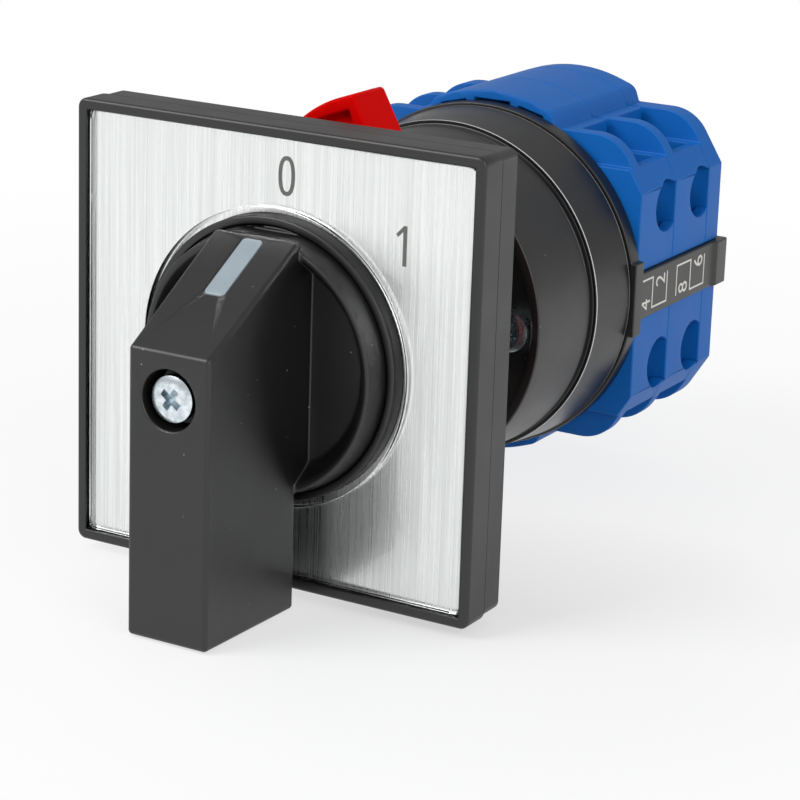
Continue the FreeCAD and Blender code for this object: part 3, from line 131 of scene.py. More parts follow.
def moulded_skin():
    """The skin of a moulding: fine grain, cloudy tone and a few flecks of dust."""
    tree, given, result = named_group("moulded_skin", "ShaderNodeTree", [
        ("Vector", "NodeSocketVector", None),
        ("Colour", "NodeSocketColor", (0.5, 0.5, 0.5, 1)),
        ("Roughness", "NodeSocketFloat", 0.4),
        ("Grain", "NodeSocketFloat", 5000),
        ("Cloud", "NodeSocketFloat", 0.12),
        ("Dust", "NodeSocketFloat", 0.2),
    ], [
        ("Colour", "NodeSocketColor"), ("Roughness", "NodeSocketFloat"), ("Height", "NodeSocketFloat"),
    ])
    where = given["Vector"]
    grain = add(tree, "ShaderNodeTexNoise", {"Vector": where, "Scale": given["Grain"], "Detail": 3})
    cloud = add(tree, "ShaderNodeTexNoise", {
        "Vector": where, "Scale": CLOUD_SCALE, "Detail": 4, "Roughness": 0.6,
    }).outputs["Fac"]
    swing = reckon(tree, "MULTIPLY_ADD", reckon(tree, "SUBTRACT", cloud, 0.5), given["Cloud"], 1)
    toned = add(tree, "ShaderNodeVectorMath", {0: given["Colour"], "Scale": swing}, operation="SCALE")
    speck = add(tree, "ShaderNodeTexVoronoi", {"Vector": where, "Scale": SPECK_SCALE})
    small = reckon(tree, "LESS_THAN", speck.outputs["Distance"], SPECK_SIZE)
    chance = add(tree, "ShaderNodeSeparateColor", {"Color": speck.outputs["Color"]})
    few = reckon(tree, "LESS_THAN", chance.outputs[0], SPECK_SHARE)
    amount = reckon(tree, "MULTIPLY", reckon(tree, "MULTIPLY", small, few), given["Dust"])
    uneven = reckon(tree, "MULTIPLY_ADD", cloud, SKIN_SWING, -SKIN_SWING / 2)
    tree.links.new(blend(tree, amount, toned.outputs[0], DUST_COLOUR), result["Colour"])
    tree.links.new(reckon(tree, "ADD", given["Roughness"], uneven), result["Roughness"])
    tree.links.new(grain.outputs["Fac"], result["Height"])
    return tree


moulded = moulded_skin()


def plain_finish(name, **sockets):
    """A Principled material whose constant values sit on the shader's own sockets."""
    finish = bpy.data.materials.new(name)
    finish.use_nodes = True
    shader = finish.node_tree.nodes["Principled BSDF"]
    for label, value in sockets.items():
        shader.inputs[label.replace("_", " ")].default_value = value
    return finish, finish.node_tree, shader


def bumped(tree, shader, height, strength, depth):
    """Leads a height through a Bump node to the shader's normal."""
    bump = add(tree, "ShaderNodeBump", {"Strength": strength, "Distance": depth, "Height": height})
    tree.links.new(bump.outputs["Normal"], shader.inputs["Normal"])


def skin_on(tree, group, **values):
    """A skin group on Object coordinates with its values set: its outputs and the coordinates."""
    where = add(tree, "ShaderNodeTexCoord").outputs["Object"]
    return add(tree, "ShaderNodeGroup", {"Vector": where, **values}, node_tree=group).outputs, where


def wear(tree, shader, colour, skin, bump, depth):
    """Leads a colour, and a skin's roughness and height, to the shader."""
    tree.links.new(colour, shader.inputs["Base Color"])
    tree.links.new(skin["Roughness"], shader.inputs["Roughness"])
    bumped(tree, shader, skin["Height"], bump, depth)


MOULD_DEPTH = 0.00004


def moulding_finish(name, colour, roughness, grain=5000, cloud=0.12, dust=0.2, bump=0.12, **sockets):
    """A plastic or rubber finish with the moulded skin on Object coordinates."""
    finish, tree, shader = plain_finish(name, **sockets)
    skin, _ = skin_on(tree, moulded, Colour=(*colour, 1), Roughness=roughness,
                      Grain=grain, Cloud=cloud, Dust=dust)
    wear(tree, shader, skin["Colour"], skin, bump, MOULD_DEPTH)
    return finish


def dress(finish, *names):
    """Gives CAD nodes that stay in view their material."""
    for name in names:
        nodes[name].data.materials.clear()
        nodes[name].data.materials.append(finish)


gasket_rubber = moulding_finish("gasket_rubber", (0.03, 0.03, 0.031), 0.72, grain=2600, bump=0.3)
dress(gasket_rubber, "panel_gasket")


# Bezel frame: one square moulding of black thermoplastic with a narrow lip round
# the window. The collar's shank holds it and the ring nut pulls it to the panel.

black_plastic = moulding_finish("black_plastic", (0.003, 0.003, 0.0028), 0.42, dust=0.3,
                                Specular_IOR_Level=0.75)

WELD_NEAR = 1e-6
NEARLY_FLAT = math.radians(0.4)
SHARP_EDGE = math.radians(28)


def fresh_object(name, mesh, finish=None):
    """Links a mesh to the scene as an object of its own."""
    thing = bpy.data.objects.new(name, mesh)
    bpy.context.scene.collection.objects.link(thing)
    if finish is not None:
        mesh.materials.clear()
        mesh.materials.append(finish)
    return thing


def made_plain(thing, name):
    """Turns an object with modifiers into a plain mesh object."""
    bpy.context.view_layer.update()
    depsgraph = bpy.context.evaluated_depsgraph_get()
    mesh = bpy.data.meshes.new_from_object(thing.evaluated_get(depsgraph))
    bpy.data.objects.remove(thing)
    mesh.name = name
    return fresh_object(name, mesh)


def merged_copy(node):
    """A copy of a CAD node's mesh, joined and cut anew into well-shaped triangles."""
    joined = bmesh.new()
    joined.from_mesh(nodes[node].data)
    bmesh.ops.remove_doubles(joined, verts=joined.verts, dist=WELD_NEAR)
    bmesh.ops.dissolve_limit(joined, angle_limit=NEARLY_FLAT, verts=joined.verts, edges=joined.edges)
    wide = [face for face in joined.faces if len(face.verts) > 4]
    bmesh.ops.triangulate(joined, faces=wide, quad_method="BEAUTY", ngon_method="BEAUTY")
    return joined


def stand_for(piece, node):
    """The piece takes the node's place and rides on its body."""
    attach(piece, nodes[node]["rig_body"])
    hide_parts(node)


def softened(node, edge, finish, shaping=None):
    """A copy of a CAD node with its sharp edges rounded as a tool leaves them."""
    joined = merged_copy(node)
    if shaping is not None:
        shaping(joined)
    mesh = bpy.data.meshes.new(node)
    joined.to_mesh(mesh)
    joined.free()
    if "custom_normal" in mesh.attributes:
        mesh.attributes.remove(mesh.attributes["custom_normal"])
    mesh.shade_smooth()
    thing = fresh_object(node, mesh, finish)
    rounding = thing.modifiers.new("rounding", "BEVEL")
    rounding.width = edge
    rounding.segments = 2
    rounding.limit_method = "ANGLE"
    rounding.angle_limit = SHARP_EDGE
    rounding.use_clamp_overlap = False
    rounding.loop_slide = False
    evened = thing.modifiers.new("evened", "WEIGHTED_NORMAL")
    evened.weight = 80
    piece = made_plain(thing, f"{node}_moulding")
    stand_for(piece, node)
    return piece


softened("bezel_frame", 0.00014, black_plastic)


# Dial plate: thin aluminium sheet, brushed upright, with the positions 0 and 1
# printed in grey. It is dropped into the bezel and held down by the window.

PRINT_DEEP = 0.00002
FIGURE_HIGH = 0.00405
FIGURE_WIDE = 0.00195
FIGURE_LINE = 0.00043
FIGURE_SQUARENESS = 0.85
FLAG_REACH, FLAG_DROP = 0.0008, 0.0009
FLAG_FOOT_REACH, FLAG_FOOT_DROP = 0.0006, 0.0012
FLAG_ROOT_DROP = 0.0006
ZERO_PLACE = (0.00099, 0.01892)
ONE_PLACE = (0.01458, 0.0138)
BRUSH_WIDE_SCALE = 420
BRUSH_WIDE_SHARE = 0.15
STREAK_RANGE = (0.36, 0.62)
BRUSH_SWING = 0.12
BRUSH_DEPTH = 0.00003


def brushed_skin():
    """Drawn or brushed metal: long streaks along the last axis of the given vector."""
    tree, given, result = named_group("brushed_skin", "ShaderNodeTree", [
        ("Vector", "NodeSocketVector", None),
        ("Stretch", "NodeSocketVector", (1, 1, 0.02)),
        ("Light", "NodeSocketColor", (0.9, 0.9, 0.9, 1)),
        ("Dark", "NodeSocketColor", (0.6, 0.6, 0.6, 1)),
        ("Roughness", "NodeSocketFloat", 0.3),
        ("Lines", "NodeSocketFloat", 2600),
    ], [
        ("Colour", "NodeSocketColor"), ("Roughness", "NodeSocketFloat"), ("Height", "NodeSocketFloat"),
    ])
    pulled = add(tree, "ShaderNodeVectorMath", {0: given["Vector"], 1: given["Stretch"]},
                 operation="MULTIPLY").outputs[0]
    narrow = add(tree, "ShaderNodeTexNoise", {"Vector": pulled, "Scale": given["Lines"], "Detail": 4})
    wide = add(tree, "ShaderNodeTexNoise", {"Vector": pulled, "Scale": BRUSH_WIDE_SCALE, "Detail": 2})
    fine = narrow.outputs["Fac"]
    streak = reckon(tree, "MULTIPLY_ADD", wide.outputs["Fac"], BRUSH_WIDE_SHARE,
                    reckon(tree, "MULTIPLY", fine, 1 - BRUSH_WIDE_SHARE))
    spread = ramp(tree, streak, *STREAK_RANGE, 0.0, 1.0)
    uneven = reckon(tree, "MULTIPLY_ADD", spread, -BRUSH_SWING, BRUSH_SWING / 2)
    tree.links.new(blend(tree, spread, given["Dark"], given["Light"]), result["Colour"])
    tree.links.new(reckon(tree, "ADD", given["Roughness"], uneven), result["Roughness"])
    tree.links.new(fine, result["Height"])
    return tree


brushed = brushed_skin()


def metal_finish(name, light, dark, roughness, stretch=(1, 1, 1), lines=2600, bump=0.1, **sockets):
    """A metal with brushed or plated streaks on Object coordinates."""
    finish, tree, shader = plain_finish(name, Metallic=1, **sockets)
    skin, _ = skin_on(tree, brushed, Stretch=stretch, Light=(*light, 1), Dark=(*dark, 1),
                      Roughness=roughness, Lines=lines)
    wear(tree, shader, skin["Colour"], skin, bump, BRUSH_DEPTH)
    return finish


dial_aluminium = metal_finish("dial_aluminium", (1, 1, 0.995), (0.87, 0.87, 0.865), 0.3,
                              stretch=(1, 1, 0.006), lines=6500, bump=0.25)
dress(dial_aluminium, "dial_plate")
print_grey = moulding_finish("print_grey", (0.09, 0.09, 0.08), 0.5, dust=0)


def thin_solid(name, outlines, placed, finish):
    """Closed flat outlines made thin solids; placed gives a point at a height above a face."""
    solid = bmesh.new()
    for outline in outlines:
        near_ring = [solid.verts.new(placed(across, up, PRINT_DEEP)) for across, up in outline]
        far_ring = [solid.verts.new(placed(across, up, 0)) for across, up in outline]
        solid.faces.new(near_ring)
        solid.faces.new(list(reversed(far_ring)))
        for index in range(len(outline)):
            after = (index + 1) % len(outline)
            solid.faces.new((near_ring[index], far_ring[index], far_ring[after], near_ring[after]))
    bmesh.ops.recalc_face_normals(solid, faces=solid.faces)
    mesh = bpy.data.meshes.new(name)
    solid.to_mesh(mesh)
    solid.free()
    return fresh_object(name, mesh, finish)


def zero_outlines(middle, parts=48):
    """The figure 0 as short straight pieces of one narrow ring."""
    rings = []
    for index in range(parts):
        corners = []
        for step, grow in ((0, 0), (1, 0), (1, 1), (0, 1)):
            angle = 2 * math.pi * (index + step) / parts
            wide = FIGURE_WIDE / 2 - (1 - grow) * FIGURE_LINE
            high = FIGURE_HIGH / 2 - (1 - grow) * FIGURE_LINE
            across = math.copysign(abs(math.cos(angle)) ** FIGURE_SQUARENESS, math.cos(angle))
            up = math.copysign(abs(math.sin(angle)) ** FIGURE_SQUARENESS, math.sin(angle))
            corners.append((middle[0] + wide * across, middle[1] + high * up))
        rings.append(corners)
    return rings


def one_outlines(middle):
    """The figure 1: an upright with a short flag."""
    left = middle[0]
    foot = middle[1] - FIGURE_HIGH / 2
    top = middle[1] + FIGURE_HIGH / 2
    return [[
        (left, foot), (left + FIGURE_LINE, foot), (left + FIGURE_LINE, top), (left + 0.1 * FIGURE_LINE, top),
        (left - FLAG_REACH, top - FLAG_DROP), (left - FLAG_FOOT_REACH, top - FLAG_FOOT_DROP),
        (left, top - FLAG_ROOT_DROP),
    ]]


dial_low, dial_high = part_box("dial_plate")
figures = thin_solid("dial_figures", zero_outlines(ZERO_PLACE) + one_outlines(ONE_PLACE),
                     lambda across, up, rise: (across, dial_low.y - rise, up), print_grey)
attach(figures, "switch_body")


# Clear window: a sheet of polished acrylic over the dial plate, with its corners
# nearly square and a wide round hole turned for the collar.

WINDOW_CORNER = 0.0012
CORNER_PULL = 0.7
PRINT_NEAR = 0.0001
AIR_OVER_DIAL = 2.5 * PRINT_DEEP
HAZE_SCALE = 260
clear_plastic, clear_tree, clear_shader = plain_finish(
    "clear_plastic", Base_Color=(0.98, 0.99, 0.99, 1), Transmission_Weight=1, IOR=1.49)
clear_where = add(clear_tree, "ShaderNodeTexCoord").outputs["Object"]
haze = add(clear_tree, "ShaderNodeTexNoise", {"Vector": clear_where, "Scale": HAZE_SCALE, "Detail": 3})
haze_rough = ramp(clear_tree, haze.outputs["Fac"], 0.45, 0.75, 0.0, 0.05)
clear_tree.links.new(haze_rough, clear_shader.inputs["Roughness"])


def fitted_window(joined):
    """Leaves a hair of air over the printed dial and pulls the corners nearly square."""
    _, window_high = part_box("clear_window")
    straight = window_high.x - WINDOW_CORNER
    for vertex in joined.verts:
        point = vertex.co
        if point.y > dial_low.y - PRINT_NEAR:
            point.y = dial_low.y - AIR_OVER_DIAL
        past = (abs(point.x) - straight, abs(point.z) - straight)
        if min(past) > 0:
            pull = 1 + CORNER_PULL * (WINDOW_CORNER / max(past) - 1)
            point.x = math.copysign(straight + past[0] * pull, point.x)
            point.z = math.copysign(straight + past[1] * pull, point.z)


softened("clear_window", 0.00022, clear_plastic, fitted_window)


# Front bushing, ring nut and latch collar: black turned and moulded rings on the
# shaft. The bushing's collar shows round the knob, the rest sits behind the panel.

softened("front_bushing", 0.00018, black_plastic)
softened("ring_nut", 0.00025, black_plastic)
softened("latch_collar", 0.0002, black_plastic)


# Lock lever: a ring that turns on the latch collar, with a paddle standing up
# behind the plate, moulded in bright red plastic.

red_plastic = moulding_finish("red_plastic", (0.68, 0.0008, 0.0006), 0.45, grain=1500, cloud=0.12,
                              dust=0.03, bump=0.04, Specular_IOR_Level=0.03)
softened("lock_lever", 0.00028, red_plastic)


# Detent housing and base plate: a round black cup and its lid with a tongue at
# each side, both moulded. A printed sleeve with thin white edge lines goes round.

softened("detent_housing", 0.0002, black_plastic)
softened("detent_base", 0.00016, black_plastic)

LINE_IN = 0.00022
LINE_WIDE = 0.00014
REAR_LINE_SHARE = 0.4
label_black, label_tree, label_shader = plain_finish("label_black", Specular_IOR_Level=0.6)
label_skin, label_where = skin_on(label_tree, moulded, Colour=(0.006, 0.006, 0.0062, 1), Roughness=0.32,
                                  Grain=1800, Cloud=0.3, Dust=0.15)
label_along = add(label_tree, "ShaderNodeSeparateXYZ", {0: label_where})
band_low, band_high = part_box("label_band")
line_masks = []
for line_middle, line_wide, line_strong in ((band_low.y + LINE_IN, LINE_WIDE, 1),
                                            (band_high.y - LINE_IN, LINE_WIDE / 2, REAR_LINE_SHARE)):
    off_line = reckon(label_tree, "SUBTRACT", label_along.outputs["Y"], line_middle)
    on_line = reckon(label_tree, "LESS_THAN", reckon(label_tree, "ABSOLUTE", off_line), line_wide / 2)
    line_masks.append(reckon(label_tree, "MULTIPLY", on_line, line_strong))
either_line = reckon(label_tree, "MAXIMUM", *line_masks)
label_colour = blend(label_tree, either_line, label_skin["Colour"], (0.8, 0.8, 0.79, 1))
wear(label_tree, label_shader, label_colour, label_skin, 0.08, MOULD_DEPTH)
dress(label_black, "label_band")


# Detent springs, spindle and tie nuts: bright zinc plated steel, rolled or drawn.
# The star wheel, cams and plungers are moulded in natural, unpainted plastic.

zinc_steel = metal_finish("zinc_steel", (0.86, 0.94, 0.98), (0.56, 0.63, 0.68), 0.26,
                          stretch=(1, 0.25, 1), lines=1500)
dress(zinc_steel, "detent_spring_left", "detent_spring_right", "spindle", "tie_nuts")
cam_plastic = moulding_finish("cam_plastic", (0.72, 0.69, 0.6), 0.46, grain=2600, cloud=0.1, dust=0.1,
                              Subsurface_Weight=0.06)
dress(cam_plastic, "star_wheel", "cam_1", "cam_2")


# Contact stages and end cover: blue polyamide mouldings stacked on the tie screws,
# with wire pockets, quarter-round walls and a hood over each pair of contacts.

blue_plastic = moulding_finish("blue_plastic", (0.0006, 0.122, 0.47), 0.5, grain=3000, cloud=0.16, dust=0.12,
                               Specular_IOR_Level=0.28)
for moulding in ("stage_housing_1", "stage_housing_2", "end_cover"):
    softened(moulding, 0.00016, blue_plastic)


# Plungers and contacts: natural plastic plungers that carry brass bridges, and
# fixed brass strips with clamp plates in the terminals.

contact_brass = metal_finish("contact_brass", (0.86, 0.68, 0.36), (0.6, 0.43, 0.2), 0.3,
                             stretch=(0.2, 1, 1), lines=1800)
for stage in (1, 2):
    for side in ("upper", "lower"):
        dress(cam_plastic, f"plunger_{side}_{stage}")
        dress(contact_brass, f"contact_bridge_{side}_{stage}")
    dress(contact_brass, f"fixed_contacts_{stage}")
    dress(zinc_steel, f"clamp_plates_{stage}")


# Contact springs: four small coils of round spring wire, one over each plunger's
# post. They press the bridges on the fixed contacts.

WIRE = 0.0005
COIL_TURNS = 4.0


def end_tree(tree, placed, finish, result):
    """Makes the placed copies real, gives them their material and ends the tree."""
    real = add(tree, "GeometryNodeRealizeInstances", {0: placed.outputs[0]})
    finished = add(tree, "GeometryNodeSetMaterial", {"Geometry": real.outputs[0], "Material": finish})
    tree.links.new(finished.outputs[0], result["Geometry"])
    return tree


def coil_tree():
    """Coils round wire at each given point, along Z."""
    tree, given, result = named_group("coil_springs", "GeometryNodeTree", [
        ("Points", "NodeSocketGeometry", None),
        ("Coil Radius", "NodeSocketFloat", None),
        ("Wire Radius", "NodeSocketFloat", None),
        ("Height", "NodeSocketFloat", None),
        ("Turns", "NodeSocketFloat", None),
        ("Finish", "NodeSocketMaterial", None),
    ], [("Geometry", "NodeSocketGeometry")])
    tree.is_modifier = True
    coil = add(tree, "GeometryNodeCurveSpiral", {
        "Resolution": 24, "Rotations": given["Turns"], "Start Radius": given["Coil Radius"],
        "End Radius": given["Coil Radius"], "Height": given["Height"],
    })
    section = add(tree, "GeometryNodeCurvePrimitiveCircle", {
        "Resolution": 10, "Radius": given["Wire Radius"],
    })
    wire = add(tree, "GeometryNodeCurveToMesh", {
        "Curve": coil.outputs[0], "Profile Curve": section.outputs[0], "Fill Caps": True,
    })
    placed = add(tree, "GeometryNodeInstanceOnPoints", {
        "Points": given["Points"], "Instance": wire.outputs[0],
    })
    return end_tree(tree, placed, given["Finish"], result)


def grown(name, tree, places, values, ways=None):
    """Runs a geometry tree on points and gives its result as a plain mesh object."""
    mesh = bpy.data.meshes.new(name)
    mesh.from_pydata(places, [], [])
    if ways is not None:
        facing = mesh.attributes.new("way", "FLOAT_VECTOR", "POINT")
        for index, way in enumerate(ways):
            facing.data[index].vector = way
    thing = fresh_object(name, mesh)
    modifier = thing.modifiers.new("growth", "NODES")
    modifier.node_group = tree
    for item in tree.interface.items_tree:
        if item.item_type == "SOCKET" and item.in_out == "INPUT" and item.name in values:
            modifier[item.identifier] = values[item.name]
    return made_plain(thing, name)


spring_nodes = [f"contact_spring_{side}_{stage}" for stage in (1, 2) for side in ("upper", "lower")]
coil_places = []
for spring_node in spring_nodes:
    coil_low, coil_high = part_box(spring_node)
    coil_middle = (coil_low + coil_high) / 2
    coil_places.append((coil_middle.x, coil_middle.y, coil_low.z + WIRE / 2))
springs = grown("contact_springs", coil_tree(), coil_places, {
    "Coil Radius": (coil_high.x - coil_low.x) / 2 - WIRE / 2, "Wire Radius": WIRE / 2,
    "Height": coil_high.z - coil_low.z - WIRE, "Turns": COIL_TURNS, "Finish": zinc_steel,
})
for polygon in springs.data.polygons:
    polygon.use_smooth = True
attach(springs, "switch_body")
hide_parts(*spring_nodes)


# Screws: cheese heads with a cross recess on rolled threads, zinc plated steel.
# Eight clamp the wires, two long ones tie the stack and one holds the knob.

THREAD_PITCH = 0.0005
SHANK_RADIUS = 0.0015
TERMINAL_HEAD = 0.0025
TIE_HEAD, TIE_HEAD_HIGH = 0.0022, 0.0015
KNOB_HEAD_HIGH = 0.0019
KNOB_SCREW_LIFT = 0.0009
RIM_DROP, RIM_STEEPNESS = 0.14, 5.0
TOP_LEVEL = 0.49
SHORTEST = 0.0001
RECESS_LONG, RECESS_WIDE, RECESS_DEEP = 1.3, 0.38, 1.2
RECESS_TAPER_LONG, RECESS_TAPER_WIDE = 0.45, 0.35


def screw_tree():
    """A cross-head screw at each point, its head facing along the attribute way."""
    tree, given, result = named_group("cross_head_screws", "GeometryNodeTree", [
        ("Points", "NodeSocketGeometry", None),
        ("Head Radius", "NodeSocketFloat", None),
        ("Head Height", "NodeSocketFloat", None),
        ("Shank Radius", "NodeSocketFloat", None),
        ("Length", "NodeSocketFloat", None),
        ("Thread Length", "NodeSocketFloat", None),
        ("Pitch", "NodeSocketFloat", None),
        ("Seed", "NodeSocketInt", None),
        ("Finish", "NodeSocketMaterial", None),
    ], [("Geometry", "NodeSocketGeometry")])
    tree.is_modifier = True
    radius, height, shank = given["Head Radius"], given["Head Height"], given["Shank Radius"]
    length, thread, pitch = given["Length"], given["Thread Length"], given["Pitch"]

    def maths(operation, *values):
        return reckon(tree, operation, *values)

    def times(socket, factor):
        return maths("MULTIPLY", socket, factor)

    def point(x, y, z):
        return add(tree, "ShaderNodeCombineXYZ", {0: x, 1: y, 2: z}).outputs[0]

    def lifted(shape, rise):
        moved = add(tree, "GeometryNodeTransform", {"Geometry": shape, "Translation": point(0.0, 0.0, rise)})
        return moved.outputs[0]

    head = add(tree, "GeometryNodeMeshCylinder", {
        "Vertices": 40, "Side Segments": 3, "Fill Segments": 7, "Radius": radius, "Depth": height,
    })
    position = add(tree, "GeometryNodeInputPosition")
    x, y, z = add(tree, "ShaderNodeSeparateXYZ", {0: position.outputs[0]}).outputs
    out = add(tree, "ShaderNodeVectorMath", {0: point(x, y, 0.0)}, operation="LENGTH")
    steep = maths("POWER", maths("DIVIDE", out.outputs["Value"], radius), RIM_STEEPNESS)
    on_top = maths("GREATER_THAN", maths("DIVIDE", z, height), TOP_LEVEL)
    fall = maths("MULTIPLY", maths("MULTIPLY", steep, on_top), times(height, -RIM_DROP))
    domed = add(tree, "GeometryNodeSetPosition", {
        "Geometry": head.outputs["Mesh"], "Offset": point(0.0, 0.0, fall),
    })
    recessed = add(tree, "GeometryNodeMeshBoolean", {"Mesh 1": lifted(domed.outputs[0], times(height, -0.5))},
                   operation="DIFFERENCE", solver="EXACT")
    for turn in (0, math.pi / 2):
        arm = add(tree, "GeometryNodeMeshCube", {
            "Size": point(times(radius, RECESS_LONG), times(radius, RECESS_WIDE), times(height, RECESS_DEEP)),
        })
        tapered = add(tree, "GeometryNodeSetPosition", {
            "Geometry": arm.outputs["Mesh"], "Selection": maths("LESS_THAN", z, 0.0),
            "Offset": point(times(x, -RECESS_TAPER_LONG), times(y, -RECESS_TAPER_WIDE), 0.0),
        })
        cutter = add(tree, "GeometryNodeTransform", {
            "Geometry": tapered.outputs[0], "Rotation": (0, 0, turn),
        })
        tree.links.new(cutter.outputs[0], recessed.inputs["Mesh 2"])

    core_radius = maths("SUBTRACT", shank, times(pitch, 0.5))
    plain_length = maths("SUBTRACT", length, thread)
    reach = maths("ADD", plain_length, height)
    tip = maths("ADD", length, height)
    plain = add(tree, "GeometryNodeMeshCylinder", {
        "Vertices": 24, "Radius": shank, "Depth": maths("MAXIMUM", plain_length, SHORTEST),
    })
    core = add(tree, "GeometryNodeMeshCylinder", {"Vertices": 24, "Radius": core_radius, "Depth": thread})
    ridge_line = add(tree, "GeometryNodeCurveSpiral", {
        "Resolution": 20, "Rotations": maths("DIVIDE", thread, pitch), "Start Radius": core_radius,
        "End Radius": core_radius, "Height": times(thread, 0.94),
    })
    ridge_section = add(tree, "GeometryNodeCurvePrimitiveCircle", {
        "Resolution": 4, "Radius": times(pitch, 0.48),
    })
    ridge = add(tree, "GeometryNodeCurveToMesh", {
        "Curve": ridge_line.outputs[0], "Profile Curve": ridge_section.outputs[0], "Fill Caps": True,
    })
    whole = add(tree, "GeometryNodeJoinGeometry")
    for part in (recessed.outputs[0],
                 lifted(plain.outputs["Mesh"], times(maths("ADD", reach, height), -0.5)),
                 lifted(core.outputs["Mesh"], times(maths("ADD", reach, tip), -0.5)),
                 lifted(ridge.outputs[0], times(tip, -1.0))):
        tree.links.new(part, whole.inputs[0])

    facing = add(tree, "GeometryNodeInputNamedAttribute", {"Name": "way"}, data_type="FLOAT_VECTOR")
    aimed = add(tree, "FunctionNodeAlignRotationToVector", {"Vector": facing.outputs[0]}, axis="Z")
    chance = add(tree, "FunctionNodeRandomValue", {"Seed": given["Seed"]}, data_type="FLOAT")
    for limit, value in (("Min", 0.0), ("Max", 1.57)):
        next(s for s in chance.inputs if s.name == limit and s.type == "VALUE").default_value = value
    angle = next(s for s in chance.outputs if s.type == "VALUE")
    spun = add(tree, "FunctionNodeAxisAngleToRotation", {"Axis": (0, 0, 1), "Angle": angle})
    turned = add(tree, "FunctionNodeRotateRotation", {
        "Rotation": aimed.outputs[0], "Rotate By": spun.outputs[0],
    }, rotation_space="LOCAL")
    placed = add(tree, "GeometryNodeInstanceOnPoints", {
        "Points": given["Points"], "Instance": whole.outputs[0], "Rotation": turned.outputs[0],
    })
    return end_tree(tree, placed, given["Finish"], result)


screws = screw_tree()


def cut_screws(node, places, ways, head_radius, head_height, length, thread, seed):
    """Screws of one size in place of a CAD node, their faces crisp and their sides smooth."""
    piece = grown(f"{node}_cut", screws, places, {
        "Head Radius": head_radius, "Head Height": head_height, "Shank Radius": SHANK_RADIUS,
        "Length": length, "Thread Length": thread, "Pitch": THREAD_PITCH, "Seed": seed,
        "Finish": zinc_steel,
    }, ways)
    piece.data.shade_smooth()
    piece.data.set_sharp_from_angle(angle=math.radians(35))
    stand_for(piece, node)


for stage in (1, 2):
    screw_low, screw_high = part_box(f"terminal_screws_{stage}")
    screw_middle = (screw_low.y + screw_high.y) / 2
    heads = [(across * screw_high.x, screw_middle, up * (screw_high.z - TERMINAL_HEAD))
             for across in (1, -1) for up in (1, -1)]
    cut_screws(f"terminal_screws_{stage}", heads, [(math.copysign(1, x), 0, 0) for x, _, _ in heads],
               head_radius=TERMINAL_HEAD, head_height=0.0018, length=0.0041, thread=0.0038, seed=stage)
screw_low, screw_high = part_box("tie_screws")
cut_screws("tie_screws", [(across * (screw_high.x - TIE_HEAD), screw_low.y, 0) for across in (1, -1)],
           [(0, -1, 0)] * 2, head_radius=TIE_HEAD, head_height=TIE_HEAD_HIGH,
           length=screw_high.y - screw_low.y - TIE_HEAD_HIGH, thread=0.008, seed=5)
screw_low, screw_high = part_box("knob_screw")
cut_screws("knob_screw", [(0, screw_low.y - KNOB_SCREW_LIFT, 0)], [(0, -1, 0)],
           head_radius=screw_high.x, head_height=KNOB_HEAD_HIGH,
           length=screw_high.y - screw_low.y + KNOB_SCREW_LIFT - KNOB_HEAD_HIGH, thread=0.0078, seed=11)


# Number strips: black clips along both sides, hooked over the end cover. White
# brackets and the terminal numbers are printed on the outside.

strip_grey = moulding_finish("strip_grey", (0.022, 0.023, 0.02), 0.4, dust=0.1, Specular_IOR_Level=0.6)
softened("number_strip_right", 0.00016, strip_grey)
softened("number_strip_left", 0.00016, strip_grey)

print_white = moulding_finish("print_white", (0.72, 0.7, 0.66), 0.5, dust=0)
MARK_LINE = 0.00022
MARK_HIGH = 0.00175
BAY = 0.00372
HOOK_RISE = 0.0004
BRACKET_AFTER_SEAM = 0.00045
BRACKET_STEP = 0.01005
MARK_IN = 0.0001
NUMBER_HIGH, NUMBER_WIDE = 0.0023, 0.00125
TERMINAL_NUMBERS = (("4", 0.0401, -0.00115), ("2", 0.0438, 0.00105),
                    ("8", 0.04995, -0.0011), ("6", 0.0539, 0.0012))
strip_low, strip_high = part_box("number_strip_right")


def stroke(points, width):
    """The outline of a line of even width along points that turn at right angles."""
    sides = []
    for index, (across, up) in enumerate(points):
        ways = []
        for first, second in ((index - 1, index), (index, index + 1)):
            if first >= 0 and second < len(points):
                run = Vector(points[second]) - Vector(points[first])
                ways.append(Vector((-run.y, run.x)).normalized() * width / 2)
        shift = sum(ways, Vector((0, 0)))
        sides.append((Vector((across, up)) + shift, Vector((across, up)) - shift))
    return [tuple(left) for left, _ in sides] + [tuple(right) for _, right in reversed(sides)]


def strip_place(along, up, rise):
    """A point on the outer face of the right strip, lifted by rise."""
    return (strip_high.x - HOOK_RISE + rise, along, up)


def bracket(start, bays):
    """A square wave that opens downward in its first bay, from start along the strip."""
    points = [(start, -MARK_HIGH), (start, MARK_HIGH)]
    for bay in range(1, bays + 1):
        level = -MARK_HIGH if bay % 2 == 0 else MARK_HIGH
        points.append((start + bay * BAY, level))
        points.append((start + bay * BAY, -level))
    return points


stage_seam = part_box("stage_housing_2")[0].y
first_bracket = bracket(stage_seam + BRACKET_AFTER_SEAM - BRACKET_STEP, 2)
first_bracket = [(strip_low.y + MARK_IN, MARK_HIGH)] + first_bracket[2:]
second_bracket = bracket(stage_seam + BRACKET_AFTER_SEAM, 2)
thin_solid("strip_brackets", [stroke(first_bracket, MARK_LINE), stroke(second_bracket, MARK_LINE)],
           strip_place, print_white)
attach(bpy.data.objects["strip_brackets"], "switch_body")


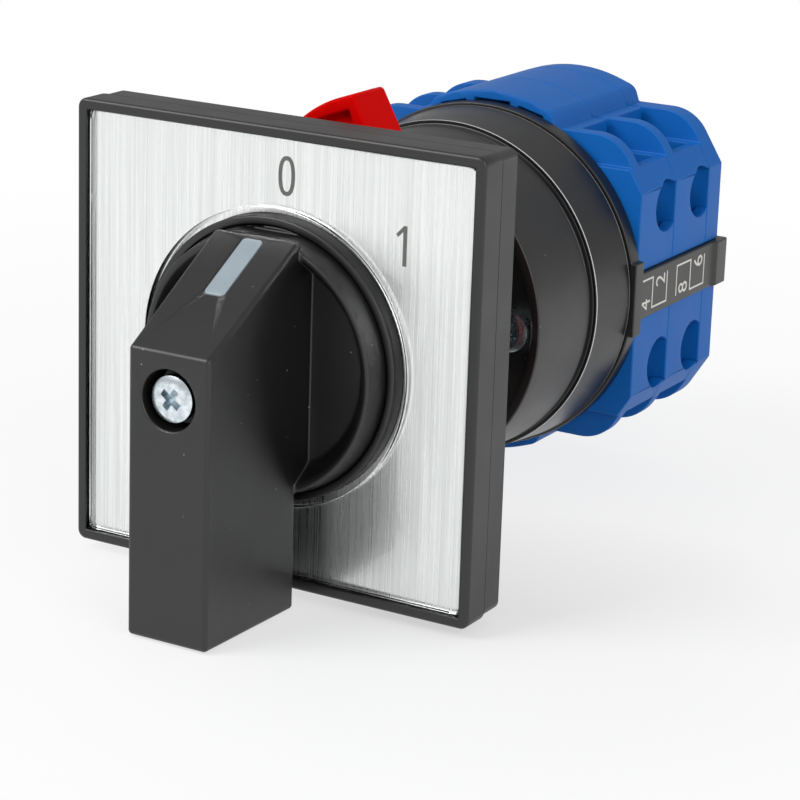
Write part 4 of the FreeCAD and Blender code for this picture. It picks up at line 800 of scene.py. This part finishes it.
def strip_figure(digit, along, up):
    """A printed terminal number whose top points to the front, its middle at a place."""
    letter = bpy.data.curves.new(f"figure_{digit}", "FONT")
    letter.body = digit
    letter.extrude = PRINT_DEEP / 2
    drawn = fresh_object(f"figure_{digit}", letter)
    piece = made_plain(drawn, f"terminal_number_{digit}")
    welded = bmesh.new()
    welded.from_mesh(piece.data)
    bmesh.ops.remove_doubles(welded, verts=welded.verts, dist=WELD_NEAR)
    welded.to_mesh(piece.data)
    welded.free()
    corners = [vertex.co.copy() for vertex in piece.data.vertices]
    low_corner = Vector([min(corner[axis] for corner in corners) for axis in range(3)])
    high_corner = Vector([max(corner[axis] for corner in corners) for axis in range(3)])
    middle = (low_corner + high_corner) / 2
    for vertex in piece.data.vertices:
        across = (vertex.co.x - middle.x) * NUMBER_WIDE / (high_corner.x - low_corner.x)
        rise = (vertex.co.y - middle.y) * NUMBER_HIGH / (high_corner.y - low_corner.y)
        vertex.co = strip_place(along - rise, up + across, vertex.co.z + PRINT_DEEP / 2)
    piece.data.materials.clear()
    piece.data.materials.append(print_white)
    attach(piece, "switch_body")


for digit, along, up in TERMINAL_NUMBERS:
    strip_figure(digit, along, up)


# Knob: one moulding in satin black, a dished disc with a deep blade across it.
# A pale plastic bar is let into the blade's slope as the pointer.

softened("knob", 0.00022, black_plastic)
pale_plastic = moulding_finish("pale_plastic", (0.3, 0.36, 0.4), 0.3, grain=900, cloud=0.5, dust=0.1,
                               bump=0.08)
softened("pointer_inlay", 0.00012, pale_plastic)


# Studio: a pale floor that keeps the soft shadow near the plate, lifted by a painted white glow
# that turns it plain white farther off; one large soft lamp to the upper left, a weaker one to the right.

FLOOR_HIGH = cad_box[0].z - 0.0002
FLOOR_HALF = 3
SHADOW_SPOT = (0.0295, -0.0135, FLOOR_HIGH)
SPOT_REACH, SPOT_WHITE = (0.018, 0.05), (0.57, 0.8)
FADE_REACH, FADE_WHITE = (0.07, 0.2), 0.2
floor_corners = [(across * FLOOR_HALF, along * FLOOR_HALF, FLOOR_HIGH)
                 for across, along in ((-1, -1), (1, -1), (1, 1), (-1, 1))]
floor_mesh = bpy.data.meshes.new("floor")
floor_mesh.from_pydata(floor_corners, [], [(0, 1, 2, 3)])
floor_white, floor_tree, floor_shader = plain_finish(
    "floor_white", Base_Color=(0.93, 0.935, 0.94, 1), Roughness=0.9)
floor = fresh_object("floor", floor_mesh, floor_white)

floor_where = add(floor_tree, "ShaderNodeTexCoord").outputs["Object"]
from_middle = add(floor_tree, "ShaderNodeVectorMath", {0: floor_where}, operation="LENGTH")
from_spot = add(floor_tree, "ShaderNodeVectorMath", {0: floor_where, 1: SHADOW_SPOT}, operation="DISTANCE")
# Painted light: the share of painted white glow over the floor's real shadow, small near the shadow spot,
# larger farther off.
far_glow_share = ramp(floor_tree, from_middle.outputs["Value"], *FADE_REACH, 0.0, FADE_WHITE)
spot_glow_share = ramp(floor_tree, from_spot.outputs["Value"], *SPOT_REACH, *SPOT_WHITE)
painted_glow_share = reckon(floor_tree, "ADD", far_glow_share, spot_glow_share)
rays = add(floor_tree, "ShaderNodeLightPath").outputs
direct = reckon(floor_tree, "MAXIMUM", rays["Is Camera Ray"], rays["Is Glossy Ray"])
through = reckon(floor_tree, "MAXIMUM", direct, rays["Is Transmission Ray"])
whiten = reckon(floor_tree, "MULTIPLY", painted_glow_share, through)
# Painted light: camera, glossy and transmission rays see the floor as this white glow in the share above, so
# its shadow and its reflections in the parts are lightened.
glow = add(floor_tree, "ShaderNodeEmission", {"Color": (1, 1, 1, 1), "Strength": 1})
shown = add(floor_tree, "ShaderNodeMixShader", {0: whiten, 1: floor_shader.outputs[0], 2: glow.outputs[0]})
floor_tree.links.new(shown.outputs[0], floor_tree.nodes["Material Output"].inputs["Surface"])

GLOSSY_SHARE = 0.08
SKY_DIFFUSE = 0.45
world = bpy.data.worlds.new("studio")
bpy.context.scene.world = world
world.use_nodes = True
sky = world.node_tree
backdrop = sky.nodes["Background"]
backdrop.inputs["Color"].default_value = (1, 1, 1, 1)
sky_rays = add(sky, "ShaderNodeLightPath").outputs
sky_gloss = reckon(sky, "MULTIPLY", sky_rays["Is Glossy Ray"], GLOSSY_SHARE)
sky_direct = reckon(sky, "MAXIMUM", sky_rays["Is Camera Ray"], sky_gloss)
sky_through = reckon(sky, "MAXIMUM", sky_direct, sky_rays["Is Transmission Ray"])
sky.links.new(ramp(sky, sky_through, 0.0, 1.0, SKY_DIFFUSE, 1.0), backdrop.inputs["Strength"])


def soft_lamp(name, place, target, size, power):
    """A square area lamp aimed at a point."""
    light = bpy.data.lights.new(name, "AREA")
    light.size = size
    light.energy = power
    lamp = bpy.data.objects.new(name, light)
    lamp.location = place
    lamp.rotation_euler = (Vector(target) - Vector(place)).to_track_quat("-Z", "Y").to_euler()
    bpy.context.scene.collection.objects.link(lamp)


soft_lamp("key", (-0.35, -0.45, 0.5), (0, 0.01, 0), 0.45, 3.6)
soft_lamp("fill", (0.5, -0.25, 0.25), (0, 0.02, 0), 0.4, 1.25)

# Camera: at the photograph's angle, its place and focal length found from the
# known plate in the picture, both in pixels of a square picture.

PICTURE = 800
FOCAL_PIXELS = 2837
MIDDLE_ACROSS, MIDDLE_DOWN = 385.6, 350.0
AZIMUTH, ELEVATION, ROLL = (math.radians(a) for a in (30.14, 15.83, 1.81))
LOOK_AT = Vector((0.00781, 0.0032, 0.00006))
DISTANCE = 0.2915
camera_data = bpy.data.cameras.new("camera")
camera_data.sensor_width = 36
camera_data.lens = FOCAL_PIXELS * camera_data.sensor_width / PICTURE
camera_data.shift_x = (PICTURE / 2 - MIDDLE_ACROSS) / PICTURE
camera_data.shift_y = (MIDDLE_DOWN - PICTURE / 2) / PICTURE
camera_data.clip_start = 0.01
camera_data.clip_end = 20
back = Vector((math.sin(AZIMUTH) * math.cos(ELEVATION), -math.cos(AZIMUTH) * math.cos(ELEVATION),
               math.sin(ELEVATION)))
level_right = Vector((math.cos(AZIMUTH), math.sin(AZIMUTH), 0))
level_up = back.cross(level_right)
right = level_right * math.cos(ROLL) + level_up * math.sin(ROLL)
up = level_up * math.cos(ROLL) - level_right * math.sin(ROLL)
camera = bpy.data.objects.new("camera", camera_data)
turn = Matrix((right, up, back)).transposed().to_4x4()
camera.matrix_world = Matrix.Translation(LOOK_AT + back * DISTANCE) @ turn
bpy.context.scene.collection.objects.link(camera)
bpy.context.scene.camera = camera
bpy.context.scene.view_settings.view_transform = "Standard"
